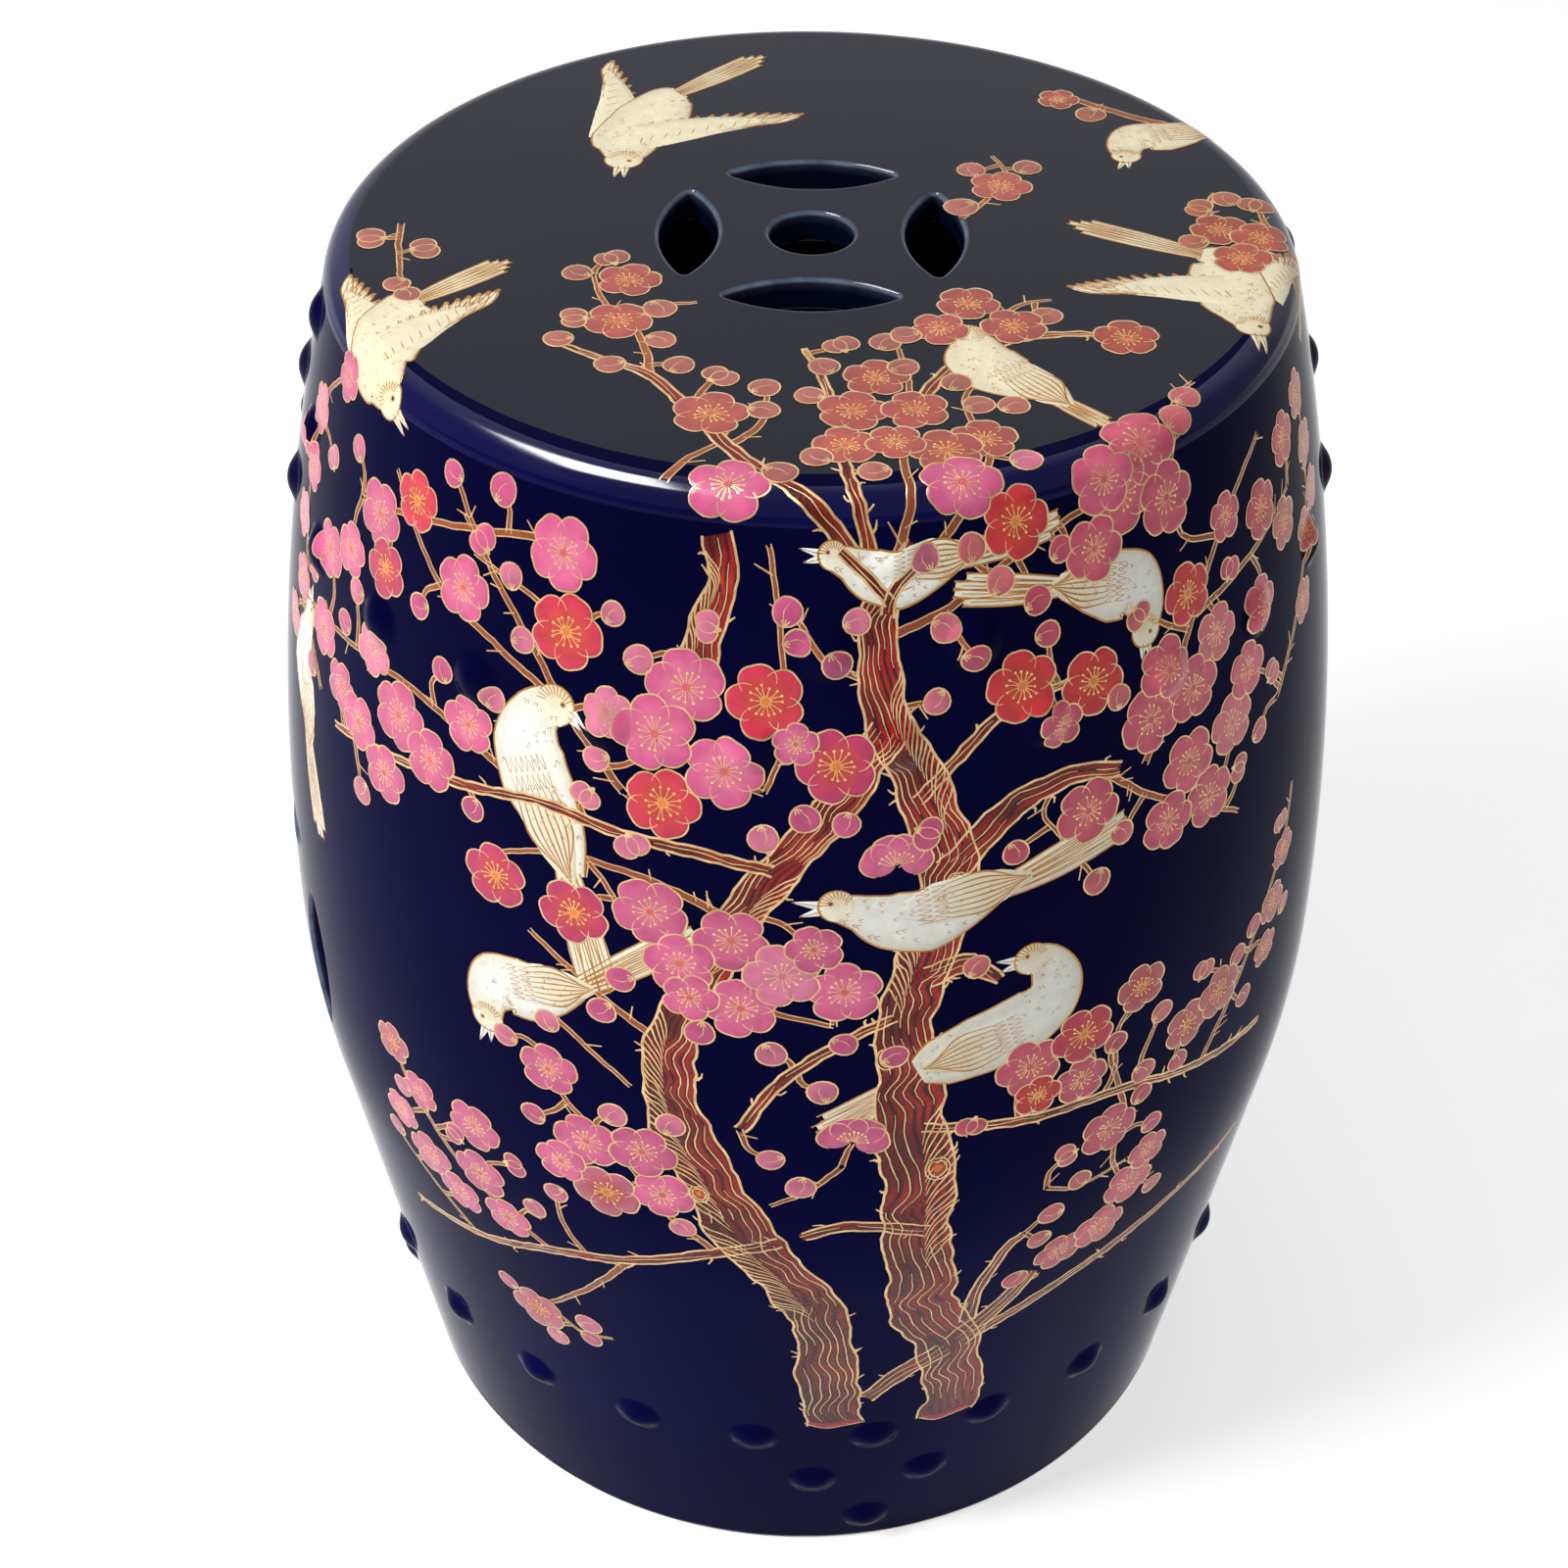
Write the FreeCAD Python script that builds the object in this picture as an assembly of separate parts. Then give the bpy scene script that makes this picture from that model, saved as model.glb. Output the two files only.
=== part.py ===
import FreeCAD, Part
import math
import os

from FreeCAD import Vector

# Ceramic garden stool: a hollow drum with an open base, a pierced seat and rows of nail-head bosses.
# Millimetres, +Z up. The origin is on the floor at the drum's axis, and the front faces -Y.

# Overall form
stool_height = 460.0
belly_radius = 181.5
belly_height = 218.0
seat_edge_radius = 152.5
foot_radius = 149.5
belly_turn_radius = 340.0
wall_thickness = 9.0

# Seat slab and the coil of clay that stiffens its joint
seat_thickness = 11.0
shoulder_radius = 10.0
coil_size = 8.0

# Foot
foot_height = 12.0
foot_width = 16.0
foot_bevel = 2.5

# Pierced coin motif in the seat
seat_coin_radius = 48.0
seat_coin_lens_start = 28.5
seat_coin_eye_radius = 13.7
seat_coin_turn = -9.5

# Pierced coin motif on the left and right sides, through which the stool is lifted
side_coin_radius = 52.0
side_coin_lens_start = 31.0
side_coin_eye_radius = 15.0
side_coin_height = 216.0

# Both motifs
lens_half_angle = 36.0
lens_tip_radius = 2.0

# Nail-head bosses
boss_radius = 7.5
boss_rise = 4.3
bosses_in_row = 24
row_from_end = 74.0
pendant_row_steps = (29.0, 58.0)
pendants_round_drum = 4

# Cutters reach this far past the surface that they cut
past_surface = 10.0

# Turned surfaces are closed at this angle, where no hole or boss crosses the seam
seam_turn = 40.0

wall_top = stool_height - seat_thickness
full_turn = 360.0


def rotated(shape, degrees):
    turned = shape.copy()
    turned.rotate(Vector(0, 0, 0), Vector(0, 0, 1), degrees)
    return turned


def lathe(edges):
    """Solid of revolution of a closed outline drawn in the XZ plane."""
    outline = Part.Wire(Part.__sortEdges__(edges))
    solid = Part.Face(outline).revolve(Vector(0, 0, 0), Vector(0, 0, 1), full_turn)
    return rotated(solid, seam_turn)


def line(start, end):
    return Part.LineSegment(start, end).toShape()


def arc(start, middle, end):
    return Part.Arc(start, middle, end).toShape()


class DrumProfile:
    """The drum's side in the XZ plane: a straight taper, a tight turn below the belly and a long
    arc above it. `inset` moves all three inwards by the same distance."""

    rise = wall_top - belly_height
    fall_in = belly_radius - seat_edge_radius
    upper_arc_radius = (rise ** 2 + fall_in ** 2) / (2 * fall_in)
    # The taper runs from the foot to where it touches the turn's circle
    turn_centre = belly_radius - belly_turn_radius
    to_foot_x = foot_radius - turn_centre
    foot_distance = math.hypot(to_foot_x, belly_height)
    taper_angle = math.atan2(belly_height, to_foot_x) - math.acos(belly_turn_radius / foot_distance)

    def __init__(self, inset=0.0):
        self.turn_radius = belly_turn_radius - inset
        self.arc_radius = self.upper_arc_radius - inset
        self.arc_centre = belly_radius - self.upper_arc_radius
        self.touch = self.on_turn(self.taper_angle)

    def on_turn(self, angle):
        x = self.turn_centre + self.turn_radius * math.cos(angle)
        return Vector(x, 0, belly_height - self.turn_radius * math.sin(angle))

    def radius(self, height):
        if height >= belly_height:
            return self.arc_centre + math.sqrt(self.arc_radius ** 2 - (height - belly_height) ** 2)
        if height >= self.touch.z:
            return self.turn_centre + math.sqrt(self.turn_radius ** 2 - (belly_height - height) ** 2)
        return self.touch.x - (self.touch.z - height) * math.tan(self.taper_angle)

    def lean(self, height):
        """Angle of the surface's outward normal above the horizontal."""
        if height >= belly_height:
            return math.asin((height - belly_height) / self.arc_radius)
        if height >= self.touch.z:
            return -math.asin((belly_height - height) / self.turn_radius)
        return -self.taper_angle

    def point(self, height):
        return Vector(self.radius(height), 0, height)

    def edges(self, low, high):
        """The side from `low` to `high`, which lie below the taper's top and above the belly."""
        belly = self.point(belly_height)
        return [
            line(self.point(low), self.touch),
            arc(self.touch, self.on_turn(self.taper_angle / 2), belly),
            arc(belly, self.point((belly_height + high) / 2), self.point(high)),
        ]


outside = DrumProfile()
inside = DrumProfile(wall_thickness)


def lens_outline(coin_radius, lens_start):
    """Lens on the +X side of a coin: its own circle outside, a flatter arc inside, rounded tips."""
    half = math.radians(lens_half_angle)
    tip_x = coin_radius * math.cos(half)
    # The inner arc's circle runs through both sharp tips and the lens's start on the X axis
    inner_centre = (coin_radius ** 2 - lens_start ** 2) / (2 * (tip_x - lens_start))
    inner_radius = inner_centre - lens_start
    # A tip's circle touches the coin's circle and the inner arc's circle from within
    to_coin = coin_radius - lens_tip_radius
    to_inner = inner_radius - lens_tip_radius
    centre_x = (to_coin ** 2 - to_inner ** 2 + inner_centre ** 2) / (2 * inner_centre)
    tip = Vector(centre_x, math.sqrt(to_coin ** 2 - centre_x ** 2), 0)
    inner = Vector(inner_centre, 0, 0)
    outer_touch = tip * (coin_radius / to_coin)
    inner_touch = inner + (tip - inner) * (inner_radius / to_inner)
    outwards = outer_touch + inner_touch - tip * 2
    apex = tip + outwards.normalize() * lens_tip_radius

    def below(point):
        return Vector(point.x, -point.y, 0)

    return [
        arc(below(outer_touch), Vector(coin_radius, 0, 0), outer_touch),
        arc(outer_touch, apex, inner_touch),
        arc(inner_touch, Vector(lens_start, 0, 0), below(inner_touch)),
        arc(below(inner_touch), below(apex), below(outer_touch)),
    ]


def pierced_coin(coin_radius, lens_start, eye_radius, length):
    """Cutters of the coin motif, along +Z from the XY plane: a round eye and four lenses round it."""
    eye = Part.makeCylinder(eye_radius, length)
    outline = Part.Wire(lens_outline(coin_radius, lens_start))
    lens = Part.Face(outline).extrude(Vector(0, 0, length))
    return [eye] + [rotated(lens, quarter * full_turn / 4) for quarter in range(4)]


def seat_side_point(height):
    """The seat slab's side goes straight on from the wall's top, at the wall's lean."""
    lean = outside.lean(wall_top)
    return Vector(seat_edge_radius - (height - wall_top) * math.tan(lean), 0, height)


def make_barrel_wall():
    outer_edges = outside.edges(foot_height, wall_top)
    inner_edges = inside.edges(foot_height, wall_top)
    bottom = line(outside.point(foot_height), inside.point(foot_height))
    top = line(outside.point(wall_top), inside.point(wall_top))
    wall = lathe(outer_edges + inner_edges + [bottom, top])
    start = belly_radius / 2
    length = belly_radius + past_surface - start
    openings = []
    for cutter in pierced_coin(side_coin_radius, side_coin_lens_start, side_coin_eye_radius, length):
        cutter.translate(Vector(0, 0, start))
        cutter.rotate(Vector(0, 0, 0), Vector(0, 1, 0), full_turn / 4)
        cutter.translate(Vector(0, 0, side_coin_height))
        openings += [cutter, rotated(cutter, full_turn / 2)]
    return wall.cut(openings)


def make_seat_slab():
    edge_bottom = outside.point(wall_top)
    edge_top = seat_side_point(stool_height)
    outline = [
        line(Vector(0, 0, wall_top), edge_bottom),
        line(edge_bottom, edge_top),
        line(edge_top, Vector(0, 0, stool_height)),
        line(Vector(0, 0, stool_height), Vector(0, 0, wall_top)),
    ]
    slab = lathe(outline)
    rim = [
        edge
        for edge in slab.Edges
        if isinstance(edge.Curve, Part.Circle) and abs(edge.Curve.Center.z - stool_height) < 1e-6
    ]
    slab = slab.makeFillet(shoulder_radius, rim)
    length = seat_thickness + 2 * past_surface
    for cutter in pierced_coin(seat_coin_radius, seat_coin_lens_start, seat_coin_eye_radius, length):
        cutter.translate(Vector(0, 0, wall_top - past_surface))
        slab = slab.cut(rotated(cutter, seat_coin_turn))
    return slab


def make_joint_coil():
    """Coil of clay pressed into the corner between the wall's inside and the seat's underside."""
    corner = inside.point(wall_top)
    low = inside.point(wall_top - coil_size)
    inner = Vector(corner.x - coil_size, 0, wall_top)
    up_wall = arc(low, inside.point(wall_top - coil_size / 2), corner)
    return lathe([up_wall, line(corner, inner), line(inner, low)])


def make_foot_ring():
    """Thickened foot with both floor edges bevelled, where the glaze is wiped off."""
    outer_bottom = outside.point(0)
    inner_x = outer_bottom.x - foot_width
    corners = [
        outside.point(foot_height),
        outside.point(foot_bevel),
        Vector(outer_bottom.x - foot_bevel, 0, 0),
        Vector(inner_x + foot_bevel, 0, 0),
        Vector(inner_x, 0, foot_bevel),
        Vector(inner_x, 0, foot_height),
    ]
    return lathe([line(start, end) for start, end in zip(corners, corners[1:] + corners[:1])])


def drum_at(height, reach):
    """Cone that touches the drum's side at this height and goes `reach` above and below it. It
    strays under 0.03 mm below a boss."""
    slope = math.tan(outside.lean(height))
    low_radius = outside.radius(height) + reach * slope
    high_radius = outside.radius(height) - reach * slope
    cone = Part.makeCone(low_radius, high_radius, 2 * reach, Vector(0, 0, height - reach))
    return rotated(cone, seam_turn)


def boss_at(height):
    """One nail head at the front: a ball sunk in the drum until only its cap stands out."""
    ball_radius = (boss_radius ** 2 + boss_rise ** 2) / (2 * boss_rise)
    lean = outside.lean(height)
    depth = ball_radius - boss_rise
    x = outside.radius(height) - depth * math.cos(lean)
    z = height - depth * math.sin(lean)
    outwards = Vector(math.cos(lean), 0, math.sin(lean))
    ball = Part.makeSphere(ball_radius, Vector(x, 0, z), outwards, 0, full_turn / 4, full_turn)
    drum = drum_at(height, ball_radius + past_surface)
    return rotated(ball.cut(drum), -full_turn / 4)


def make_boss_row(height):
    boss = boss_at(height)
    step = full_turn / bosses_in_row
    return Part.makeCompound([rotated(boss, step * place) for place in range(bosses_in_row)])


def make_pendants(row_height, direction):
    """Triangles of three bosses that point away from the row: two between the row's, then one."""
    near = boss_at(row_height + direction * pendant_row_steps[0])
    far = boss_at(row_height + direction * pendant_row_steps[1])
    half_step = full_turn / bosses_in_row / 2
    triangle = [rotated(near, -half_step), rotated(near, half_step), far]
    turns = [full_turn / pendants_round_drum * side for side in range(pendants_round_drum)]
    return Part.makeCompound([rotated(boss, turn) for turn in turns for boss in triangle])


def make_parts():
    lower_row = row_from_end
    upper_row = stool_height - row_from_end
    return {
        "barrel_wall": make_barrel_wall(),
        "seat_slab": make_seat_slab(),
        "joint_coil": make_joint_coil(),
        "foot_ring": make_foot_ring(),
        "upper_boss_row": make_boss_row(upper_row),
        "lower_boss_row": make_boss_row(lower_row),
        "upper_pendant_bosses": make_pendants(upper_row, 1),
        "lower_pendant_bosses": make_pendants(lower_row, -1),
    }


def main():
    os.makedirs("parts", exist_ok=True)
    for name, shape in make_parts().items():
        print(name, "solids", len(shape.Solids), "valid", shape.isValid(), "volume", round(shape.Volume))
        shape.exportStep("parts/" + name + ".step")


main()
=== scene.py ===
import math
import random

import bmesh
import bpy
import numpy as np
from mathutils import Matrix, Vector
from mathutils.geometry import delaunay_2d_cdt


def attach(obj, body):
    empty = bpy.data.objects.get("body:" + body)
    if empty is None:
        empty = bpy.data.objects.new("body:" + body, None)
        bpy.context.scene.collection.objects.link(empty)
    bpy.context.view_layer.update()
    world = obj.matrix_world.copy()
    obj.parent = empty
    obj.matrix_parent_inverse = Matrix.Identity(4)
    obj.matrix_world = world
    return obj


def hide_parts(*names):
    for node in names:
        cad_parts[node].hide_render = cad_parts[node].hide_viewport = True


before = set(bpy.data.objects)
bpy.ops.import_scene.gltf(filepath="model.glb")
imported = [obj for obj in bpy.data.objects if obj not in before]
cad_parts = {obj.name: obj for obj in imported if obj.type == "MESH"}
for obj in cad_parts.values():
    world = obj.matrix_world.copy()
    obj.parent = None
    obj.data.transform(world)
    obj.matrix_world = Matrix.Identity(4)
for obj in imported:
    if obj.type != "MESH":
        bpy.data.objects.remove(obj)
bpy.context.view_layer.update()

# Shapes are worked out in millimetres and become metres when a mesh is made.
# Azimuths are degrees round the drum: 0 at the front (-Y), positive towards +X.
MM = 0.001

# Sizes that the CAD source also has
STOOL_HEIGHT = 460.0
BELLY_RADIUS = 181.5
BELLY_HEIGHT = 218.0
BELLY_TURN_RADIUS = 340.0
SEAT_EDGE_RADIUS = 152.5
FOOT_RADIUS = 149.5
FOOT_HEIGHT = 12.0
FOOT_WIDTH = 16.0
WALL_THICKNESS = 9.0
SEAT_THICKNESS = 11.0
SHOULDER_RADIUS = 10.0
WALL_TOP = STOOL_HEIGHT - SEAT_THICKNESS
SEAT_COIN = dict(radius=48.0, lens_start=28.5, eye=13.7)
SEAT_COIN_TURN = -9.5
SIDE_COIN = dict(radius=52.0, lens_start=31.0, eye=15.0)
SIDE_COIN_HEIGHT = 216.0
LENS_HALF_ANGLE = 36.0
LENS_TIP_RADIUS = 2.0
BOSS_RADIUS = 7.5
BOSS_RISE = 4.3
BOSSES_IN_ROW = 24
ROW_FROM_END = 74.0
PENDANT_STEPS = (29.0, 58.0)

# The glaze lies this far inside the CAD surface, which leaves room for raised enamel and gilding
GLAZE = -0.35
# A surface that runs on below its neighbour lies this much deeper
TUCK = 0.02
TUCK_LENGTH = 3.0
COLUMNS = 480

# Upper end of a random phase, in radians
ANY_PHASE = 6.3

# The photograph looks at the drum from this many degrees to the left of its front
VIEW_TURN = -9.5


# The drum's side and top as one line from the foot to the middle of the seat

UPPER_RISE = WALL_TOP - BELLY_HEIGHT
UPPER_FALL = BELLY_RADIUS - SEAT_EDGE_RADIUS
UPPER_ARC = (UPPER_RISE ** 2 + UPPER_FALL ** 2) / (2 * UPPER_FALL)
TURN_CENTRE = BELLY_RADIUS - BELLY_TURN_RADIUS
TO_FOOT = FOOT_RADIUS - TURN_CENTRE
TAPER = math.atan2(BELLY_HEIGHT, TO_FOOT) - math.acos(BELLY_TURN_RADIUS / math.hypot(TO_FOOT, BELLY_HEIGHT))
TAPER_TOP = BELLY_HEIGHT - BELLY_TURN_RADIUS * math.sin(TAPER)


def side_radius(z):
    z = np.asarray(z, float)
    above = np.clip(z - BELLY_HEIGHT, 0, None)
    below = np.clip(BELLY_HEIGHT - z, 0, BELLY_HEIGHT - TAPER_TOP)
    upper = BELLY_RADIUS - UPPER_ARC + np.sqrt(UPPER_ARC ** 2 - above ** 2)
    turn = TURN_CENTRE + np.sqrt(BELLY_TURN_RADIUS ** 2 - below ** 2)
    taper = np.clip(TAPER_TOP - z, 0, None) * math.tan(TAPER)
    return np.where(z >= BELLY_HEIGHT, upper, turn - taper)


def side_lean(z):
    """Angle of the side's outward normal above the horizontal."""
    z = np.asarray(z, float)
    above = np.clip(z - BELLY_HEIGHT, 0, None)
    below = np.clip(BELLY_HEIGHT - z, 0, BELLY_HEIGHT - TAPER_TOP)
    return np.where(z >= BELLY_HEIGHT, np.arcsin(above / UPPER_ARC), -np.arcsin(below / BELLY_TURN_RADIUS))


SIDE_STEPS = 900
SHOULDER_STEPS = 40


def make_profile():
    """Rows of distance along the line, radius, height and outward normal."""
    z = np.linspace(0, WALL_TOP, SIDE_STEPS)
    lean = side_lean(z)
    r = side_radius(z)
    top_lean = float(lean[-1])
    # The shoulder's arc touches the seat's side and its flat top
    arc_z = STOOL_HEIGHT - SHOULDER_RADIUS
    touch_z = arc_z + SHOULDER_RADIUS * math.sin(top_lean)
    touch_r = SEAT_EDGE_RADIUS - (touch_z - WALL_TOP) * math.tan(top_lean)
    arc_r = touch_r - SHOULDER_RADIUS * math.cos(top_lean)
    turn = np.linspace(top_lean, math.pi / 2, SHOULDER_STEPS)
    r = np.r_[r, arc_r + SHOULDER_RADIUS * np.cos(turn), 0.0]
    z = np.r_[z, arc_z + SHOULDER_RADIUS * np.sin(turn), STOOL_HEIGHT]
    lean = np.r_[lean, turn, math.pi / 2]
    s = np.r_[0, np.cumsum(np.hypot(np.diff(r), np.diff(z)))]
    return s, r, z, lean


LINE_S, LINE_R, LINE_Z, LINE_LEAN = make_profile()
SEAT_MIDDLE = float(LINE_S[-1])
SHOULDER_END = float(LINE_S[-2])


def along(z):
    """Distance along the line to a height on the side."""
    return np.interp(z, LINE_Z[:SIDE_STEPS], LINE_S[:SIDE_STEPS])


def surface(azimuth, s, h):
    """Points at a height h off the CAD surface."""
    azimuth, s, h = np.broadcast_arrays(*(np.asarray(value, float) for value in (azimuth, s, h)))
    lean = np.interp(s, LINE_S, LINE_LEAN)
    r = np.interp(s, LINE_S, LINE_R) + h * np.cos(lean)
    z = np.interp(s, LINE_S, LINE_Z) + h * np.sin(lean)
    a = np.radians(azimuth)
    return np.stack([r * np.sin(a), -r * np.cos(a), z], -1)


def heading(angle):
    return np.array([math.cos(angle), math.sin(angle)])


def left_of(run):
    """The direction turned a quarter to the left."""
    return np.array([-run[1], run[0]])


def turned(angle):
    """Matrix that turns rows of flat points to the left."""
    c, s = heading(angle)
    return np.array([[c, s], [-s, c]])


def shares(values, places):
    """Values spread evenly over 0 to 1, read at the given places."""
    return np.interp(places, np.linspace(0, 1, len(values)), values)


# Nail-head bosses

def boss_places():
    """Azimuth and height of each boss, by CAD node."""
    step = 360.0 / BOSSES_IN_ROW
    places = {}
    for name, row, away in (("upper", STOOL_HEIGHT - ROW_FROM_END, 1), ("lower", ROW_FROM_END, -1)):
        places[name + "_boss_row"] = [(step * k, row) for k in range(BOSSES_IN_ROW)]
        near, far = (row + away * d for d in PENDANT_STEPS)
        places[name + "_pendant_bosses"] = [
            (side * 90.0 + turn, z)
            for side in range(4)
            for turn, z in ((-step / 2, near), (step / 2, near), (0.0, far))
        ]
    return places


BOSSES = boss_places()
BOSS_CENTRES = np.array([surface(a, along(z), 0.0) for spots in BOSSES.values() for a, z in spots])
# Glaze fills in round each nail head, which then stands out a little less
GLAZED_BOSS_RISE = BOSS_RISE - 1.3
BOSS_BALL = (BOSS_RADIUS ** 2 + GLAZED_BOSS_RISE ** 2) / (2 * GLAZED_BOSS_RISE)
BOSS_SOFTNESS = 2.0
BOSS_REACH = 9.6


def boss_height(distance):
    """Rise of a boss with a soft foot, at a distance from its middle."""
    d = np.minimum(distance, BOSS_BALL)
    cap = np.sqrt(BOSS_BALL ** 2 - d ** 2) - (BOSS_BALL - GLAZED_BOSS_RISE)
    cap = cap - np.clip(distance - BOSS_BALL, 0, None)
    blend = np.clip(0.5 + 0.5 * cap / BOSS_SOFTNESS, 0, 1)
    rise = cap * blend + BOSS_SOFTNESS * blend * (1 - blend)
    return np.where(distance < BOSS_REACH, rise, 0.0)


def rise_over_bosses(points):
    rise = np.zeros(len(points))
    for centre in BOSS_CENTRES:
        near = np.abs(points - centre).max(1) < BOSS_REACH
        if near.any():
            rise[near] = np.maximum(rise[near], boss_height(np.linalg.norm(points[near] - centre, axis=1)))
    return rise


# Meshes

class Shape:
    """Vertices and faces that are gathered and then made into one piece."""

    def __init__(self):
        self.points = []
        self.faces = []
        self.marks = []
        self.count = 0

    def add(self, points, mark=0.0):
        points = np.asarray(points, float).reshape(-1, 3)
        first = self.count
        self.points.append(points)
        self.marks.append(np.broadcast_to(np.asarray(mark, float), (len(points),)))
        self.count += len(points)
        return np.arange(first, self.count)

    def strip(self, low, high, skipped=()):
        """Quads between two closed rows of the same length."""
        for k in range(len(low)):
            if k not in skipped:
                m = (k + 1) % len(low)
                self.faces.append((int(low[k]), int(low[m]), int(high[m]), int(high[k])))

    def strips(self, rows):
        for low, high in zip(rows, rows[1:]):
            self.strip(low, high)

    def make(self, name, material, zones=()):
        """`zones` are further materials, each with a test that picks its faces by their middle."""
        mesh = bpy.data.meshes.new(name)
        points = np.concatenate(self.points) * MM
        mesh.from_pydata(points.tolist(), [], self.faces)
        marks = np.concatenate(self.marks)
        if marks.any():
            layer = mesh.attributes.new("edge", "FLOAT", "POINT")
            layer.data.foreach_set("value", marks.astype(np.float32))
        piece = finish_mesh(name, mesh, material)
        for index, (other, picks) in enumerate(zones, 1):
            mesh.materials.append(other)
            for polygon in mesh.polygons:
                if picks(polygon.center / MM):
                    polygon.material_index = index
        return piece


def finish_mesh(name, mesh, material, turn_out=True):
    """Makes a piece of a mesh. `turn_out` turns every face outwards."""
    mesh.validate()
    if turn_out:
        work = bmesh.new()
        work.from_mesh(mesh)
        bmesh.ops.recalc_face_normals(work, faces=work.faces)
        work.to_mesh(mesh)
        work.free()
    mesh.polygons.foreach_set("use_smooth", [True] * len(mesh.polygons))
    mesh.materials.append(material)
    mesh.update()
    piece = bpy.data.objects.new(name, mesh)
    bpy.context.scene.collection.objects.link(piece)
    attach(piece, "root")
    return piece


AZIMUTHS = np.arange(COLUMNS) * 360.0 / COLUMNS


def ring(r, z):
    """Points round the axis."""
    a = np.radians(AZIMUTHS)
    return np.stack([r * np.sin(a), -r * np.cos(a), np.full(COLUMNS, z)], 1)


# Pierced coins: each hole is a set of loops at growing distance from its edge

ARC_POINTS = 44
TIP_POINTS = 14
EYE_POINTS = 72


def arc_points(centre, radius, start, end, count):
    turn = np.linspace(start, end, count, endpoint=False)
    return np.stack([centre[0] + radius * np.cos(turn), centre[1] + radius * np.sin(turn)], 1)


def lens_loop(coin, grow, turn):
    """Lens outline moved outwards by `grow`: the coin's arc, a tip, the inner arc, a tip."""
    half = math.radians(LENS_HALF_ANGLE)
    tip_x = coin["radius"] * math.cos(half)
    inner_x = (coin["radius"] ** 2 - coin["lens_start"] ** 2) / (2 * (tip_x - coin["lens_start"]))
    inner_radius = inner_x - coin["lens_start"]
    to_coin = coin["radius"] - LENS_TIP_RADIUS
    to_inner = inner_radius - LENS_TIP_RADIUS
    x = (to_coin ** 2 - to_inner ** 2 + inner_x ** 2) / (2 * inner_x)
    y = math.sqrt(to_coin ** 2 - x ** 2)
    out_turn = math.atan2(y, x)
    in_turn = math.atan2(y, x - inner_x)
    round_again = 2 * math.pi
    tip_radius = LENS_TIP_RADIUS + grow
    parts = [
        arc_points((0, 0), coin["radius"] + grow, -out_turn, out_turn, ARC_POINTS),
        arc_points((x, y), tip_radius, out_turn, in_turn, TIP_POINTS),
        arc_points((inner_x, 0), inner_radius + grow, in_turn, round_again - in_turn, ARC_POINTS),
        arc_points((x, -y), tip_radius, round_again - in_turn, round_again - out_turn, TIP_POINTS),
    ]
    return np.concatenate(parts) @ turned(turn)


def coin_holes(coin, turn):
    """Functions that give each hole's loop at a distance from its edge."""
    holes = [lambda grow: arc_points((0, 0), coin["eye"] + grow, 0, 2 * math.pi, EYE_POINTS)]
    for quarter in range(4):
        angle = turn + quarter * math.pi / 2
        holes.append(lambda grow, angle=angle: lens_loop(coin, grow, angle))
    return holes


def inside_loop(points, loop):
    x, y = points[:, 0][:, None], points[:, 1][:, None]
    x0, y0 = loop[:, 0][None], loop[:, 1][None]
    x1, y1 = np.roll(loop[:, 0], -1)[None], np.roll(loop[:, 1], -1)[None]
    crosses = (y0 > y) != (y1 > y)
    at = x0 + (y - y0) * (x1 - x0) / np.where(y1 == y0, 1e-9, y1 - y0)
    return ((crosses & (x < at)).sum(1) % 2) == 1


# Spacing of the points inside a pierced patch, whose rows form even triangles
PATCH_GRID = 3.0
PATCH_ROW = PATCH_GRID * 0.866
HOLE_RINGS = (0.0, 0.8, 2.0)
# Glaze narrows each hole by this much, and its rolled edge starts outside the cut
HOLE_INSET = -0.6


def pierced_patch(border, holes, edge):
    """Flat triangulation between a border loop and the holes' loops at `edge` from their edges.
    Gives the points, the triangles and the index of each hole's first loop."""
    outlines = [border] + [hole(edge + ring) for hole in holes for ring in HOLE_RINGS]
    ends = np.cumsum([len(outline) for outline in outlines])
    loops = [np.arange(end - len(outline), end) for end, outline in zip(ends, outlines)]
    low, high = border.min(0), border.max(0)
    rows = np.arange(low[1] + PATCH_GRID / 2, high[1], PATCH_ROW)
    grid = []
    for k, y in enumerate(rows):
        x = np.arange(low[0] + PATCH_GRID * (1 + k % 2) / 2, high[0], PATCH_GRID)
        grid.append(np.stack([x, np.full(len(x), y)], 1))
    grid = np.concatenate(grid)
    keep = inside_loop(grid, border)
    keep &= np.linalg.norm(grid[:, None] - border[None], axis=2).min(1) > PATCH_GRID * 0.45
    for hole in holes:
        keep &= ~inside_loop(grid, hole(edge + HOLE_RINGS[-1] + PATCH_GRID * 0.5))
    points = np.concatenate(outlines + [grid[keep]])
    edges = [(int(a), int(b)) for loop in loops for a, b in zip(loop, np.roll(loop, -1))]
    found = delaunay_2d_cdt([Vector(p) for p in points], edges, [], 0, 1e-6)
    triangles, originals = found[2], found[3]
    triangles = np.array([original[0] for original in originals])[np.array(triangles)]
    middles = points[triangles].mean(1)
    keep = inside_loop(middles, border)
    for hole in holes:
        keep &= ~inside_loop(middles, hole(edge))
    return points, triangles[keep], loops[1::len(HOLE_RINGS)]


# Steps of a rolled edge and of the straight part between the two
ROLL_STEPS = 7
STRAIGHT_STEPS = 4
# The pale mark, thin glaze with a painted highlight, lies this share of the outer roll below the surface,
# and is as wide
MARK_PLACE = 0.42


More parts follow.
